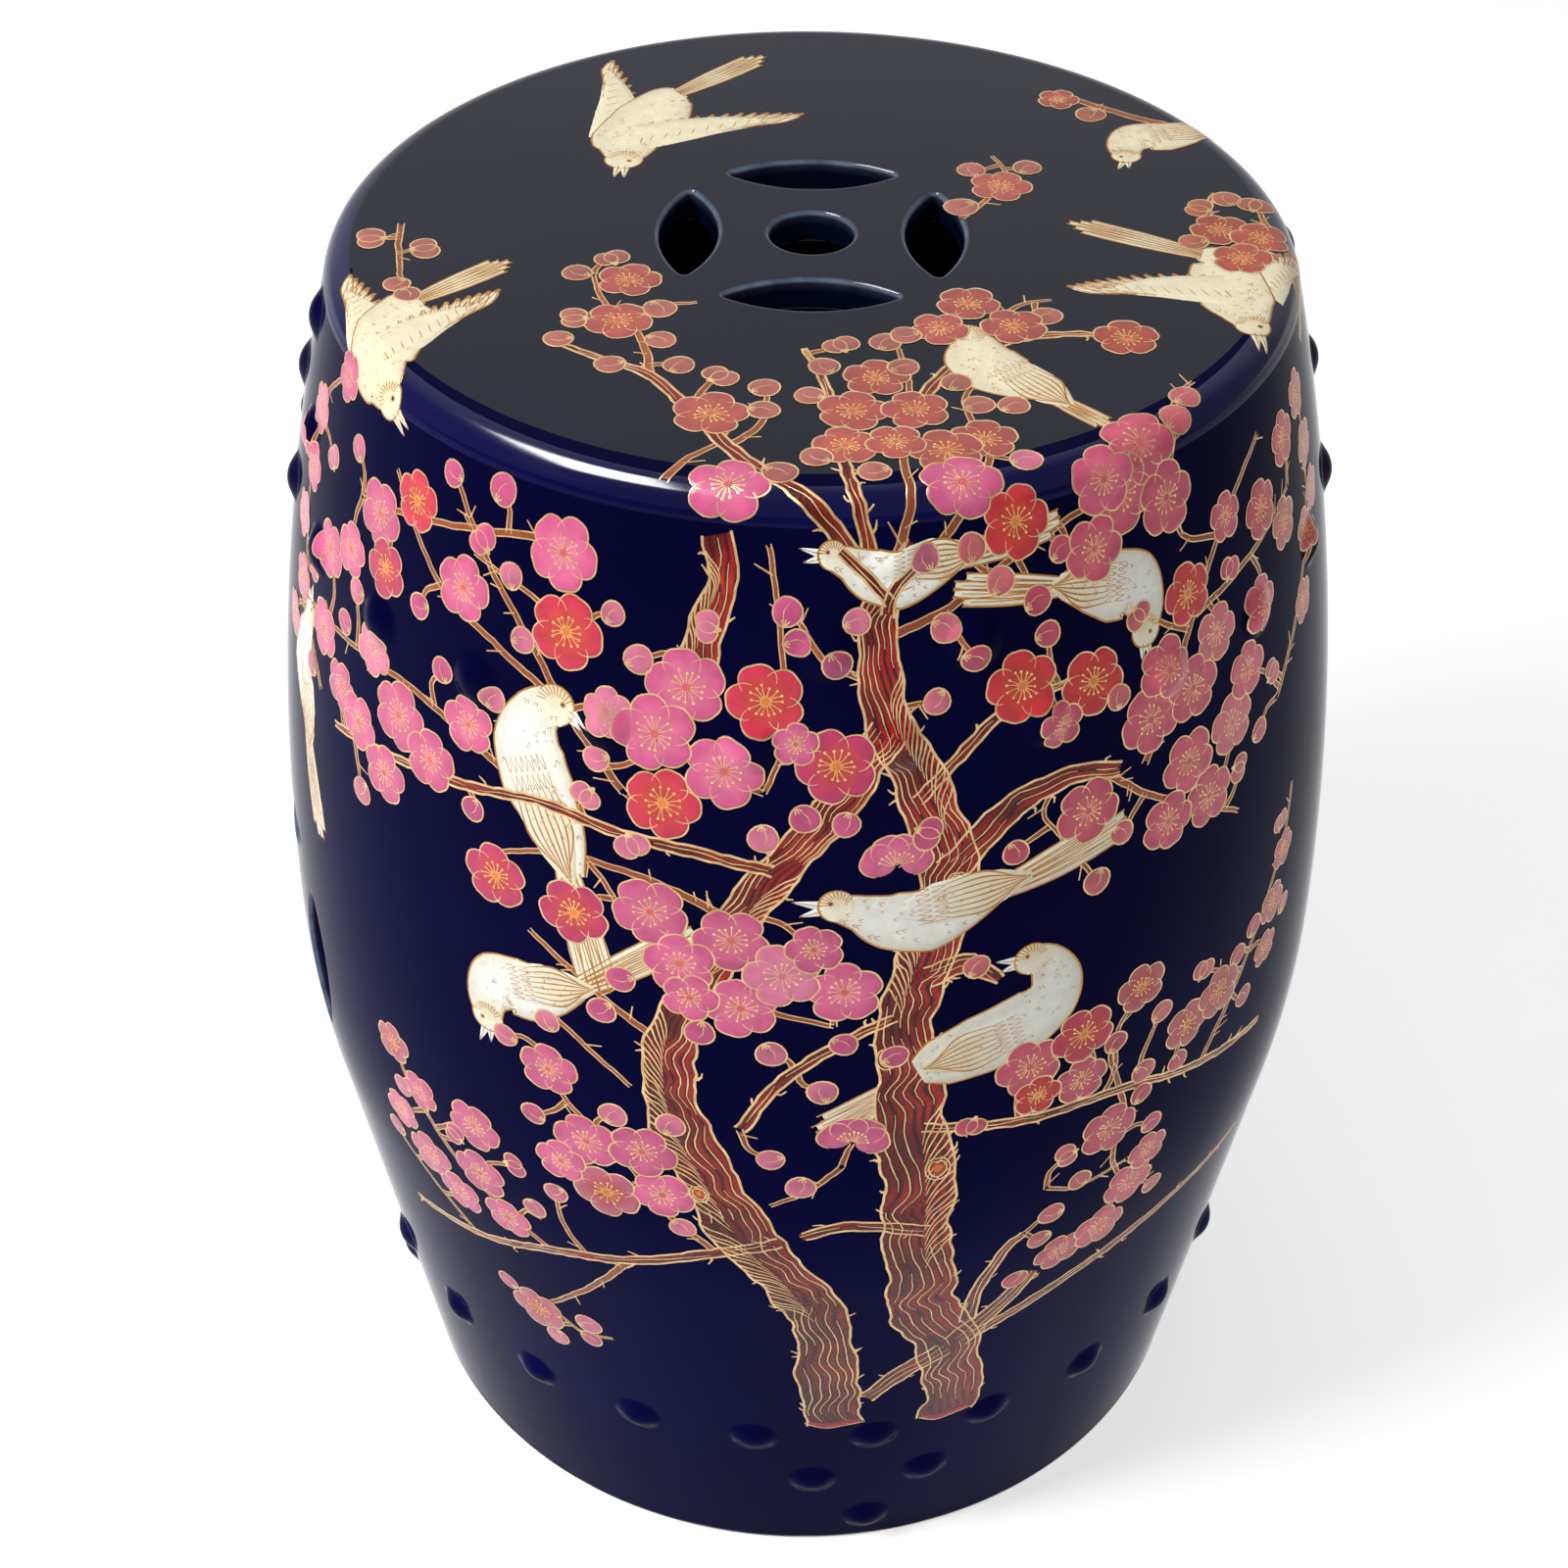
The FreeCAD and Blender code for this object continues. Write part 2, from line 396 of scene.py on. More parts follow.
def hole_section(depth, outer_round, inner_round):
    """Distances from a hole's edge and depths, from the rolled outer edge to the inner one."""
    turn = np.linspace(0, math.pi / 2, ROLL_STEPS)
    inner_start = depth - inner_round
    rows = [(outer_round * (1 - math.sin(a)), outer_round * (1 - math.cos(a))) for a in turn]
    rows += [(0.0, t) for t in np.linspace(outer_round, inner_start, STRAIGHT_STEPS)[1:]]
    rows += [(inner_round * (1 - math.cos(a)), inner_start + inner_round * math.sin(a)) for a in turn[1:]]
    return [(HOLE_INSET + grow, t) for grow, t in rows]


def edge_thinning_and_highlight(t, outer_round):
    """1 on a hole's rolled edge, where the glaze thins and a highlight is painted, 0 away from it."""
    middle = outer_round * MARK_PLACE
    return math.exp(-((t - middle) / middle) ** 2)


def add_pierced(shape, place, outer_border, inner_border, holes, depth, rounds):
    """Both faces of a pierced region and its hole walls. `place(points, depth)` puts flat points
    on the drum; the borders are (flat points, vertex numbers) that are already in the shape."""
    outer_round, inner_round = rounds
    section = hole_section(depth, outer_round, inner_round)
    ends = []
    for border, roll, t in ((outer_border, outer_round, 0.0), (inner_border, inner_round, depth)):
        flat, numbers = border
        points, triangles, loops = pierced_patch(flat, holes, HOLE_INSET + roll)
        new = shape.add(place(points[len(flat):], t))
        every = np.r_[numbers, new]
        shape.faces += [tuple(int(every[i]) for i in t3) for t3 in triangles]
        ends.append([every[loop] for loop in loops])
    for k, hole in enumerate(holes):
        last = ends[0][k]
        for grow, t in section[1:-1]:
            row = shape.add(place(hole(grow), t), edge_thinning_and_highlight(t, outer_round))
            shape.strip(last, row)
            last = row
        shape.strip(last, ends[1][k])


# Wall

INNER_FACE = -WALL_THICKNESS + 0.1
WALL_ROWS = 76
# The pierced patches reach this far from their motif's middle, and this many columns on the sides
PATCH_REACH = 66.0
PATCH_COLUMNS = 29
# Radii of the rolled outer and inner edge of a hole
SIDE_HOLE_ROUNDS = (1.7, 1.2)
SEAT_HOLE_ROUNDS = (1.6, 1.2)


def border_cells(rows, columns):
    """Places round a rectangle of a grid: along its lowest row, up, back along its highest, down."""
    cells = [(rows[0], j) for j in columns] + [(i, columns[-1]) for i in rows[1:-1]]
    return cells + [(rows[-1], j) for j in columns[::-1]] + [(i, columns[0]) for i in rows[-2:0:-1]]


def make_wall(material):
    shape = Shape()
    heights = np.linspace(FOOT_HEIGHT, WALL_TOP, WALL_ROWS)
    outer_s = np.r_[along(FOOT_HEIGHT - TUCK_LENGTH), along(heights), along(WALL_TOP) + TUCK_LENGTH]
    outer_h = np.full(len(outer_s), GLAZE)
    outer_h[[0, -1]] -= TUCK
    outer = [shape.add(surface(AZIMUTHS, s, h)) for s, h in zip(outer_s, outer_h)]
    inner = [shape.add(surface(AZIMUTHS, s, INNER_FACE)) for s in along(heights)]
    # The outer face has one more row below the first height
    faces = ((outer, 1), (inner, 0))
    patch_ends = SIDE_COIN_HEIGHT - PATCH_REACH, SIDE_COIN_HEIGHT + PATCH_REACH
    first, last = (int(np.argmin(abs(heights - end))) for end in patch_ends)
    reach = range(-PATCH_COLUMNS, PATCH_COLUMNS + 1)
    middles = {1: COLUMNS // 4, -1: 3 * COLUMNS // 4}
    patches = {side: [(middle + k) % COLUMNS for k in reach] for side, middle in middles.items()}
    skipped = {j for columns in patches.values() for j in columns[:-1]}
    for grid, below in faces:
        for i, (row, above) in enumerate(zip(grid, grid[1:]), -below):
            shape.strip(row, above, skipped if first <= i < last else ())
    shape.strip(outer[-1], inner[-1])
    shape.strip(outer[0], inner[0])
    holes = coin_holes(SIDE_COIN, 0.0)
    for side, columns in patches.items():
        cells = border_cells(range(first, last + 1), columns)
        z = heights[[i for i, j in cells]]
        a = np.radians(AZIMUTHS[[j for i, j in cells]])
        flat = np.stack([-side_radius(z) * np.cos(a), z - SIDE_COIN_HEIGHT], 1)
        borders = [(flat, np.array([grid[i + below][j] for i, j in cells])) for grid, below in faces]

        def place(points, t, side=side):
            y, z = points[:, 0], points[:, 1] + SIDE_COIN_HEIGHT
            x = side * np.sqrt(side_radius(z) ** 2 - y ** 2)
            return surface(np.degrees(np.arctan2(x, -y)), along(z), GLAZE - t)

        add_pierced(shape, place, *borders, holes, GLAZE - INNER_FACE, SIDE_HOLE_ROUNDS)
    piece = shape.make("drum_wall", material)
    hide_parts("barrel_wall")
    return piece


# Seat

# Painted reflection: the glaze is coloured grey, as the pale room mirrored in the flat seat, inside a
# circle that lies this far to the rear of the axis
REFLECTION_RADIUS = 143.75
REFLECTION_SHIFT = 7.25
VIEW_RADIANS = math.radians(VIEW_TURN)
REFLECTION_MIDDLE = REFLECTION_SHIFT * np.array([-math.sin(VIEW_RADIANS), math.cos(VIEW_RADIANS)])
# The seat's side is as plain as the wall below this height, and its rounding shines
SHINE_FROM = 454.5
TURN_FROM = 451.5
# The painted grey reflection fades out over this distance on both sides of its circle
REFLECTION_BLUR = 0.6
SHOULDER_ROWS = 24
FLAT_ROWS = 20
UNDERSIDE_ROWS = 22


# Painted reflection: whether a point lies outside the seat's painted grey circle
def beyond_reflection(point):
    return math.hypot(point[0] - REFLECTION_MIDDLE[0], point[1] - REFLECTION_MIDDLE[1]) > REFLECTION_RADIUS


def reflection_reach(azimuth):
    """Distance from the axis to the edge of the painted grey reflection on the seat."""
    a = np.radians(azimuth)
    forward = np.sin(a) * REFLECTION_MIDDLE[0] - np.cos(a) * REFLECTION_MIDDLE[1]
    return forward + np.sqrt(forward ** 2 + REFLECTION_RADIUS ** 2 - REFLECTION_SHIFT ** 2)


def make_seat(material, wall_material, turn_material, shoulder_material):
    shape = Shape()
    inner_rim = float(side_radius(WALL_TOP)) - WALL_THICKNESS

    # Faces low on the seat's side, and faces on its top outside the painted reflection's circle, take the
    # wall's plain glaze
    def side_or_edge(middle):
        low_side = middle.z < SHINE_FROM and middle.xy.length > inner_rim + 4.0
        return low_side or (middle.z > WALL_TOP + 1.0 and beyond_reflection(middle))

    def rounding_above(height):
        return lambda middle: middle.z > height and middle.xy.length > LINE_R[-2] + 0.6

    shoulder = np.linspace(float(along(WALL_TOP)), SHOULDER_END, SHOULDER_ROWS)
    flat_end = SEAT_MIDDLE - SHOULDER_END
    edge = np.minimum(reflection_reach(AZIMUTHS), flat_end - 0.4)
    flat_rows = [flat_end + (edge - flat_end) * t for t in (0.5, 1.0)]
    flat_rows += [edge + (PATCH_REACH - edge) * t for t in np.linspace(0, 1, FLAT_ROWS)[1:]]
    top = [shape.add(surface(AZIMUTHS, along(WALL_TOP - TUCK_LENGTH), GLAZE - TUCK))]
    rows = list(shoulder) + [SEAT_MIDDLE - r for r in flat_rows]
    top += [shape.add(surface(AZIMUTHS, s, GLAZE)) for s in rows]
    under = [shape.add(ring(r, WALL_TOP)) for r in np.linspace(inner_rim, PATCH_REACH, UNDERSIDE_ROWS)]
    shape.strips(top)
    shape.strips(under)
    shape.strip(top[0], under[0])
    flat = ring(PATCH_REACH, 0.0)[:, :2]

    def place(points, t):
        return np.column_stack([points, np.full(len(points), STOOL_HEIGHT + GLAZE - t)])

    holes = coin_holes(SEAT_COIN, math.radians(SEAT_COIN_TURN))
    depth = SEAT_THICKNESS + GLAZE
    add_pierced(shape, place, (flat, top[-1]), (flat, under[-1]), holes, depth, SEAT_HOLE_ROUNDS)
    zones = (
        (wall_material, side_or_edge),
        (turn_material, rounding_above(TURN_FROM)),
        (shoulder_material, rounding_above(SHINE_FROM)),
    )
    piece = shape.make("seat_disc", material, zones)
    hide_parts("seat_slab")
    return piece


# Foot

# Radii and heights of the rounded edges: outer floor edge, inner floor edge, inner top edge
OUTER_FLOOR_ROUND = (2.6, 3.4)
INNER_FLOOR_ROUND = 2.6
INNER_TOP_ROUND = 1.6
# The foot's underside clears the floor by this much
FLOOR_GAP = 0.02


def make_foot(material):
    """Turned ring whose floor edges are rounded within the CAD bevels."""
    shape = Shape()
    lean = float(side_lean(0.0))
    inner = FOOT_RADIUS - FOOT_WIDTH
    wall_inner = float(side_radius(FOOT_HEIGHT)) - WALL_THICKNESS * math.cos(lean)

    def outside(z, inset=0.0):
        h = GLAZE - inset
        return float(side_radius(z)) + h * math.cos(lean), z + h * math.sin(lean)

    def rounded(start, count, corner):
        """Points of a rounded edge, from a share of its quarter turn onwards."""
        angles = np.linspace(start, 1.0, count) * math.pi / 2
        return [corner(math.cos(angle), math.sin(angle)) for angle in angles]

    across, up = OUTER_FLOOR_ROUND
    r, z = outside(up)
    section = [outside(FOOT_HEIGHT + TUCK_LENGTH, TUCK)]
    section += [outside(z) for z in (FOOT_HEIGHT, 9.0, 6.5, 4.2)]
    section += rounded(0.1, 6, lambda c, s: (r - across * (1 - c), max(up - up * s, FLOOR_GAP)))
    section += [(FOOT_RADIUS - 6.0, FLOOR_GAP), (inner + 6.0, FLOOR_GAP)]
    across = INNER_FLOOR_ROUND
    section += rounded(0.0, 6, lambda c, s: (inner + across * (1 - s), max(across - across * c, FLOOR_GAP)))
    section += [(inner, 7.0)]
    across = INNER_TOP_ROUND
    section += rounded(0.2, 5, lambda c, s: (inner + across * (1 - c), FOOT_HEIGHT - across + across * s))
    section += [(wall_inner - 1.0, FOOT_HEIGHT), (wall_inner + 3.0, FOOT_HEIGHT)]
    rows = [shape.add(ring(*place)) for place in section]
    shape.strips(rows + rows[:1])
    piece = shape.make("drum_foot", material)
    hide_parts("foot_ring")
    return piece


# Bosses

BOSS_SIDES = 32
# Each boss ends in a rim that is tucked under the wall's glaze
BOSS_RIM = 10.2
BOSS_RINGS = np.r_[np.linspace(0, BOSS_RADIUS, 9)[1:], 8.0, 8.5, 9.0, 9.5]
BOSS_UNDERSIDE = (9.0, -1.5)


def make_bosses(node, material):
    shape = Shape()
    around = np.linspace(0, 2 * math.pi, BOSS_SIDES, endpoint=False)
    for azimuth, z in BOSSES[node]:
        s = float(along(z))
        r = float(side_radius(z))
        centre = surface(azimuth, s, 0.0)

        def circle(radius):
            return azimuth + np.degrees(radius * np.sin(around) / r), s + radius * np.cos(around)

        top = int(shape.add(surface(azimuth, s, GLAZE + boss_height(0.0)))[0])
        rows = []
        for radius in BOSS_RINGS:
            distance = np.linalg.norm(surface(*circle(radius), 0.0) - centre, axis=1)
            rows.append(shape.add(surface(*circle(radius), GLAZE + boss_height(distance))))
        rows.append(shape.add(surface(*circle(BOSS_RIM), GLAZE - TUCK)))
        first = rows[0]
        shape.faces += [(top, int(a), int(b)) for a, b in zip(first, np.roll(first, -1))]
        # The hidden underside closes each boss below the glaze
        radius, depth = BOSS_UNDERSIDE
        rows.append(shape.add(surface(*circle(radius), GLAZE + depth)))
        shape.strips(rows)
        shape.faces.append(tuple(int(i) for i in rows[-1]))
    piece = shape.make("glazed_" + node, material)
    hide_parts(node)
    return piece


# Raised decoration: flat drawings on two charts, one unrolled round the side and one on the seat

CHART_RADIUS = 170.0
SIDE, DISC = 0, 1


def nearest_boss(points):
    distance = np.full(len(points), 1e9)
    for centre in BOSS_CENTRES:
        distance = np.minimum(distance, np.linalg.norm(points - centre, axis=1))
    return distance


def on_drum(chart, flat):
    """Azimuth and distance along the line of points on a chart."""
    across, up = flat[:, 0], flat[:, 1]
    if chart == DISC:
        return np.degrees(np.arctan2(across, -up)) + VIEW_TURN, SEAT_MIDDLE - np.hypot(across, up)
    return np.degrees(across / CHART_RADIUS) + VIEW_TURN, up


# Triangles near bosses and on the shoulder, and this far past them, are halved down to this edge
NEAR_BOSS = 3.0
FINE_EDGE = 0.9


def refine(chart, values, triangles):
    """Halves long edges near bosses and on the shoulder, so that thin layers follow both without
    going through the glaze."""
    for _ in range(3):
        azimuth, s = on_drum(chart, values[:, :2])
        near = nearest_boss(surface(azimuth, s, 0.0)) < BOSS_REACH + NEAR_BOSS
        near |= (s > along(WALL_TOP) - NEAR_BOSS) & (s < SHOULDER_END + NEAR_BOSS)
        edges = np.sort(np.concatenate([triangles[:, pair] for pair in ([0, 1], [1, 2], [2, 0])]), 1)
        edges, which = np.unique(edges, axis=0, return_inverse=True)
        length = np.linalg.norm(values[edges[:, 0], :2] - values[edges[:, 1], :2], axis=1)
        split = near[edges].any(1) & (length > FINE_EDGE)
        if not split.any():
            break
        new = np.full(len(edges), -1)
        new[split] = len(values) + np.arange(split.sum())
        first, second = edges[split].T
        values = np.vstack([values, (values[first] + values[second]) / 2])
        middle = new[which.reshape(3, -1).T]
        cut = middle >= 0
        number = cut.sum(1)
        out = [triangles[number == 0]]

        def add(*corners):
            out.append(np.stack(corners, 1))

        for k in range(3):
            # Turned so that the first edge is cut and, of two, the last is not
            order = [k, (k + 1) % 3, (k + 2) % 3]
            one = (number == 1) & cut[:, k]
            a, b, c = triangles[one][:, order].T
            m = middle[one, k]
            add(a, m, c)
            add(m, b, c)
            two = (number == 2) & ~cut[:, order[2]]
            a, b, c = triangles[two][:, order].T
            m, n = middle[two, k], middle[two, order[1]]
            add(m, b, n)
            add(a, m, n)
            add(a, n, c)
        a, b, c = triangles[number == 3].T
        m, n, o = middle[number == 3].T
        for corners in ((a, m, o), (m, b, n), (o, n, c), (m, n, o)):
            add(*corners)
        triangles = np.concatenate(out)
    return values, triangles


class Drawing:
    """Thin enamel or gilding, gathered on a chart and then laid on the drum as one piece."""

    def __init__(self, chart):
        self.chart = chart
        self.parts = []
        self.count = 0
        self.triangles = []

    def add(self, points, heights, tints, triangles):
        points = np.reshape(points, (-1, 2))
        n = len(points)
        tints = np.broadcast_to(np.asarray(tints, float), (n, 3))
        self.parts.append(np.column_stack([points, np.broadcast_to(heights, (n,)), tints]))
        self.triangles.append(triangles + self.count)
        self.count += n

    def make(self, name, material, slot):
        values, triangles = refine(self.chart, np.vstack(self.parts), np.concatenate(self.triangles))
        h, tint = values[:, 2], values[:, 3:]
        azimuth, s = on_drum(self.chart, values[:, :2])
        rise = rise_over_bosses(surface(azimuth, s, 0.0))
        points = surface(azimuth, s, GLAZE + h + rise) * MM
        mesh = bpy.data.meshes.new(name)
        mesh.vertices.add(len(points))
        mesh.vertices.foreach_set("co", points.astype(np.float32).ravel())
        mesh.loops.add(len(triangles) * 3)
        mesh.loops.foreach_set("vertex_index", triangles.ravel())
        mesh.polygons.add(len(triangles))
        mesh.polygons.foreach_set("loop_start", np.arange(0, len(triangles) * 3, 3))
        mesh.update(calc_edges=True)
        layer = mesh.attributes.new("tint", "FLOAT_COLOR", "POINT")
        rgba = np.column_stack([tint, np.ones(len(tint))])
        layer.data.foreach_set("color", rgba.astype(np.float32).ravel())
        piece = finish_mesh(name, mesh, material, turn_out=False)


class Brush:
    """Enamel and the gilding on it."""

    def __init__(self, chart):
        self.chart = chart
        self.enamel = Drawing(chart)
        self.gold = Drawing(chart)


def smooth_path(points, step):
    """Catmull-Rom curve through the points, sampled about every `step` mm, with the place along it."""
    p = np.asarray(points, float)
    if len(p) == 2:
        n = max(2, int(np.linalg.norm(p[1] - p[0]) / step) + 1)
        t = np.linspace(0, 1, n)
        return p[0] + (p[1] - p[0]) * t[:, None], t
    ext = np.vstack([2 * p[0] - p[1], p, 2 * p[-1] - p[-2]])
    out, place = [], []
    for k in range(len(p) - 1):
        a, b, c, d = ext[k:k + 4]
        n = max(1, int(round(np.linalg.norm(c - b) / step)))
        last = k == len(p) - 2
        t = np.linspace(0, 1, n + last, endpoint=last)[:, None]
        square, cube = 2 * a - 5 * b + 4 * c - d, 3 * b - a - 3 * c + d
        out.append(0.5 * (2 * b + (c - a) * t + square * t ** 2 + cube * t ** 3))
        place.append((k + t[:, 0]) / (len(p) - 1))
    return np.concatenate(out), np.concatenate(place)


def path_normals(path, closed=False):
    """Directions to the left of a path and along it."""
    tangent = np.roll(path, -1, 0) - np.roll(path, 1, 0) if closed else np.gradient(path, axis=0)
    tangent /= np.maximum(np.linalg.norm(tangent, axis=1, keepdims=True), 1e-9)
    return np.stack([-tangent[:, 1], tangent[:, 0]], 1), tangent


def strip_triangles(rows, columns):
    i, j = np.meshgrid(np.arange(rows - 1), np.arange(columns - 1), indexing="ij")
    a = (i * columns + j).ravel()
    b, c, d = a + 1, a + columns + 1, a + columns
    return np.concatenate([np.stack([a, b, c], 1), np.stack([a, c, d], 1)])


def ribbon(brush, points, half_widths, base, crown, tint, across=4, step=2.0, edge_tint=None):
    """Band along a path. Its rim goes down into the glaze, and its middle stands `crown` higher."""
    path, place = smooth_path(points, step)
    widths = shares(half_widths, place)
    rim = min(0.25 / max(float(widths.max()), 0.3), 0.4)
    t = np.r_[-1, np.linspace(-1 + rim, 1 - rim, across + 1), 1]
    grid = path[:, None] + path_normals(path)[0][:, None] * (widths[:, None] * t[None])[:, :, None]
    heights = np.tile(base + crown * (1 - t ** 2), (len(path), 1))
    heights[:, [0, -1]] = RIM
    heights[[0, -1]] = RIM
    # A tint may change along the band
    tint = np.atleast_2d(tint)
    tints = np.stack([shares(tint[:, c], place) for c in range(3)], 1)[:, None]
    if edge_tint is not None:
        blend = (np.abs(t) ** 3)[None, :, None]
        tints = tints * (1 - blend) + edge_tint * blend
    tints = np.broadcast_to(tints, grid.shape[:2] + (3,)).reshape(-1, 3)
    brush.enamel.add(grid, heights.ravel(), tints, strip_triangles(*grid.shape[:2]))


# Section of a gilt line: shares of its half width, and how far its edges lie below its top
GILT_SECTION = np.array([-1.0, -0.55, 0.55, 1.0])
GILT_DROP = 0.03


def gold_line(brush, points, half_width, base, step=2.0, closed=False, tint=(1.0, 1.0, 1.0)):
    """Thin gilt line, pointed in section."""
    if closed:
        normal = path_normals(points, True)[0]
        path, normal = np.vstack([points, points[:1]]), np.vstack([normal, normal[:1]])
        place = np.linspace(0, 1, len(path))
    else:
        path, place = smooth_path(points, step)
        normal = path_normals(path)[0]
    half = shares(np.atleast_1d(half_width), place)
    grid = path[:, None] + normal[:, None] * (half[:, None] * GILT_SECTION[None])[:, :, None]
    h = np.array([base - GILT_DROP, base, base, base - GILT_DROP])
    brush.gold.add(grid, np.tile(h, len(path)), tint, strip_triangles(len(path), 4))


def fan(sides, rings):
    """Triangles of a middle point with rings of points round it."""
    k = np.arange(sides)
    m = (k + 1) % sides
    triangles = [np.stack([np.zeros(sides, int), 1 + k, 1 + m], 1)]
    for ring in range(rings - 1):
        a, b = 1 + ring * sides, 1 + (ring + 1) * sides
        triangles += [np.stack([a + k, b + k, b + m], 1), np.stack([a + k, b + m, a + m], 1)]
    return np.concatenate(triangles)


def disc(drawing, centre, radius, base, crown, tint, sides):
    around = np.linspace(0, 2 * math.pi, sides, endpoint=False)
    unit = np.stack([np.cos(around), np.sin(around)], 1)
    points = np.vstack([[centre], centre + unit * radius * 0.7, centre + unit * radius])
    heights = np.r_[base + crown, np.full(sides, base + crown * 0.6), np.full(sides, base - GILT_DROP)]
    drawing.add(points, heights, tint, fan(sides, 2))


NOTCH_WIDTH = 0.35
PETAL_WOBBLE = 0.03
PETAL_BREADTH = 1.06


def petal_outline(centre, radius, direction, sides=20, squash=1.0, notch=0.05, rng=None):
    """Round petal, a little wider than long, with a shallow notch at its outer edge."""
    around = np.linspace(0, 2 * math.pi, sides, endpoint=False)
    r = radius * (1 - notch * np.exp(-((around - math.pi) / NOTCH_WIDTH) ** 2))
    if rng is not None:
        r = r * (1 + PETAL_WOBBLE * np.sin(3 * around + rng.uniform(0, ANY_PHASE)))
    x, y = -np.cos(around) * r * squash, np.sin(around) * r * PETAL_BREADTH
    c, s = math.cos(direction), math.sin(direction)
    return np.stack([centre[0] + x * c - y * s, centre[1] + x * s + y * c], 1)


# Rings of a petal: share of its outline and of its crown
PETAL_RINGS = ((0.35, 0.9), (0.7, 0.55), (0.92, 0.12), (1.0, None))


def petal(brush, centre, outline, base, crown, inner_tint, outer_tint, origin, reach):
    """Petal as a low dome whose colour changes away from the blossom's middle."""
    n = len(outline)
    points = np.vstack([[centre]] + [centre + (outline - centre) * share for share, up in PETAL_RINGS])
    rings = [np.full(n, RIM if up is None else base + crown * up) for share, up in PETAL_RINGS]
    far = np.clip(np.linalg.norm(points - origin, axis=1) / reach, 0, 1)[:, None] ** 1.3
    tints = inner_tint * (1 - far) + outer_tint * far
    brush.enamel.add(points, np.concatenate([[base + crown]] + rings), tints, fan(n, len(PETAL_RINGS)))


# Colours are linear: petals on the side, petals on the seat made duller as painted reflection, bark,
# feathers
PINK, ROSE, MAGENTA, PALE_PINK, RED, CORAL, ORANGE, REFLECTION_DULLED_PINK, REFLECTION_DULLED_PALE, REFLECTION_DULLED_CORAL = np.array([
    (0.66, 0.105, 0.255), (0.74, 0.19, 0.31), (0.55, 0.045, 0.15), (0.74, 0.23, 0.38), (0.56, 0.035, 0.075),
    (0.62, 0.075, 0.035), (0.78, 0.24, 0.05), (0.42, 0.085, 0.085), (0.48, 0.15, 0.125), (0.50, 0.12, 0.06),
])
BARK_DARK, BARK_RED, BARK_BROWN, BARK_BRIGHT, TWIG = np.array([
    (0.022, 0.003, 0.003), (0.40, 0.014, 0.018), (0.25, 0.018, 0.012), (0.46, 0.045, 0.022),
    (0.33, 0.080, 0.030),
])
CREAM, CREAM_SEAT, OCHRE, WHITE_FEATHER = np.array([
    (0.86, 0.81, 0.64), (0.78, 0.70, 0.49), (0.66, 0.51, 0.25), (0.89, 0.89, 0.83),
])
FEATHER_INK = (0.62, 0.41, 0.15)

# Heights of the layers above the glaze, mm
FAR_LAYER = 0.010
TWIG_LAYER = 0.020
BARK_LAYER = 0.045
BIRD_LAYER = 0.085
NEAR_TWIG_LAYER = 0.138
BLOSSOM_LAYER = 0.166
LAYER_STEP = 0.028
LAYERS = 5
# Rims of enamel go down to this depth in the glaze
RIM = -0.03

rng = random.Random(7)


class Stack:
    """Gives each blossom or bud the lowest layer that none of its neighbours has."""

    def __init__(self):
        self.laid = []

    def layer(self, x, y, radius):
        taken = {k for a, b, r, k in self.laid if math.hypot(a - x, b - y) < r + radius + 0.5}
        free = [k for k in range(LAYERS) if k not in taken]
        layer = free[0] if free else LAYERS - 1
        self.laid.append((x, y, radius, layer))
        return layer


def is_under_reflection(chart, x, y):
    """Enamel on the flat of the seat, inside the painted reflection's circle, is painted duller than on the
    side and the shoulder, as veiled by that reflection.
    """
    return chart == DISC and not beyond_reflection((x, y))


def dusk(chart, x):
    """Enamel turns redder towards the right, where less light falls on it."""
    start, width = (60.0, 40.0) if chart == DISC else (30.0, 20.0)
    far = min(max((x - start) / width, 0.0), 1.0)
    return 1.0 - np.array([0.02, 0.12, 0.36]) * far


def blossom_colours(kind, in_reflection):
    shade = rng.uniform(0.88, 1.1)
    # Painted reflection: duller colours inside the seat's reflection circle
    if in_reflection:
        return REFLECTION_DULLED_CORAL * shade, REFLECTION_DULLED_PINK * shade, REFLECTION_DULLED_CORAL * 1.25
    if kind == "red":
        return CORAL, (MAGENTA if rng.random() < 0.5 else RED * 1.15) * shade, ORANGE
    if kind == "pale":
        return PALE_PINK, ROSE, ROSE
    if kind == "edge":
        return CORAL * 0.85, ROSE * 0.72, ORANGE * 0.8
    return ROSE * shade, PINK * shade, (ROSE + CORAL) / 2


PETAL_SIDES = 24
# Radii of a petal and of the heart as a share of their blossom's
PETAL_SHARE = 0.45
HEART_SHARE = 0.17
# Each petal lies this much higher than the last, and its gilt edge and the heart this much higher
PETAL_STEP = 0.0006
PETAL_GILT_LIFT = 0.013
HEART_LIFT = 0.011
# Only a petal's outer edge is gilt: these points of its outline, of which the middle one is the tip
GILT_EDGE = slice(5, 21)


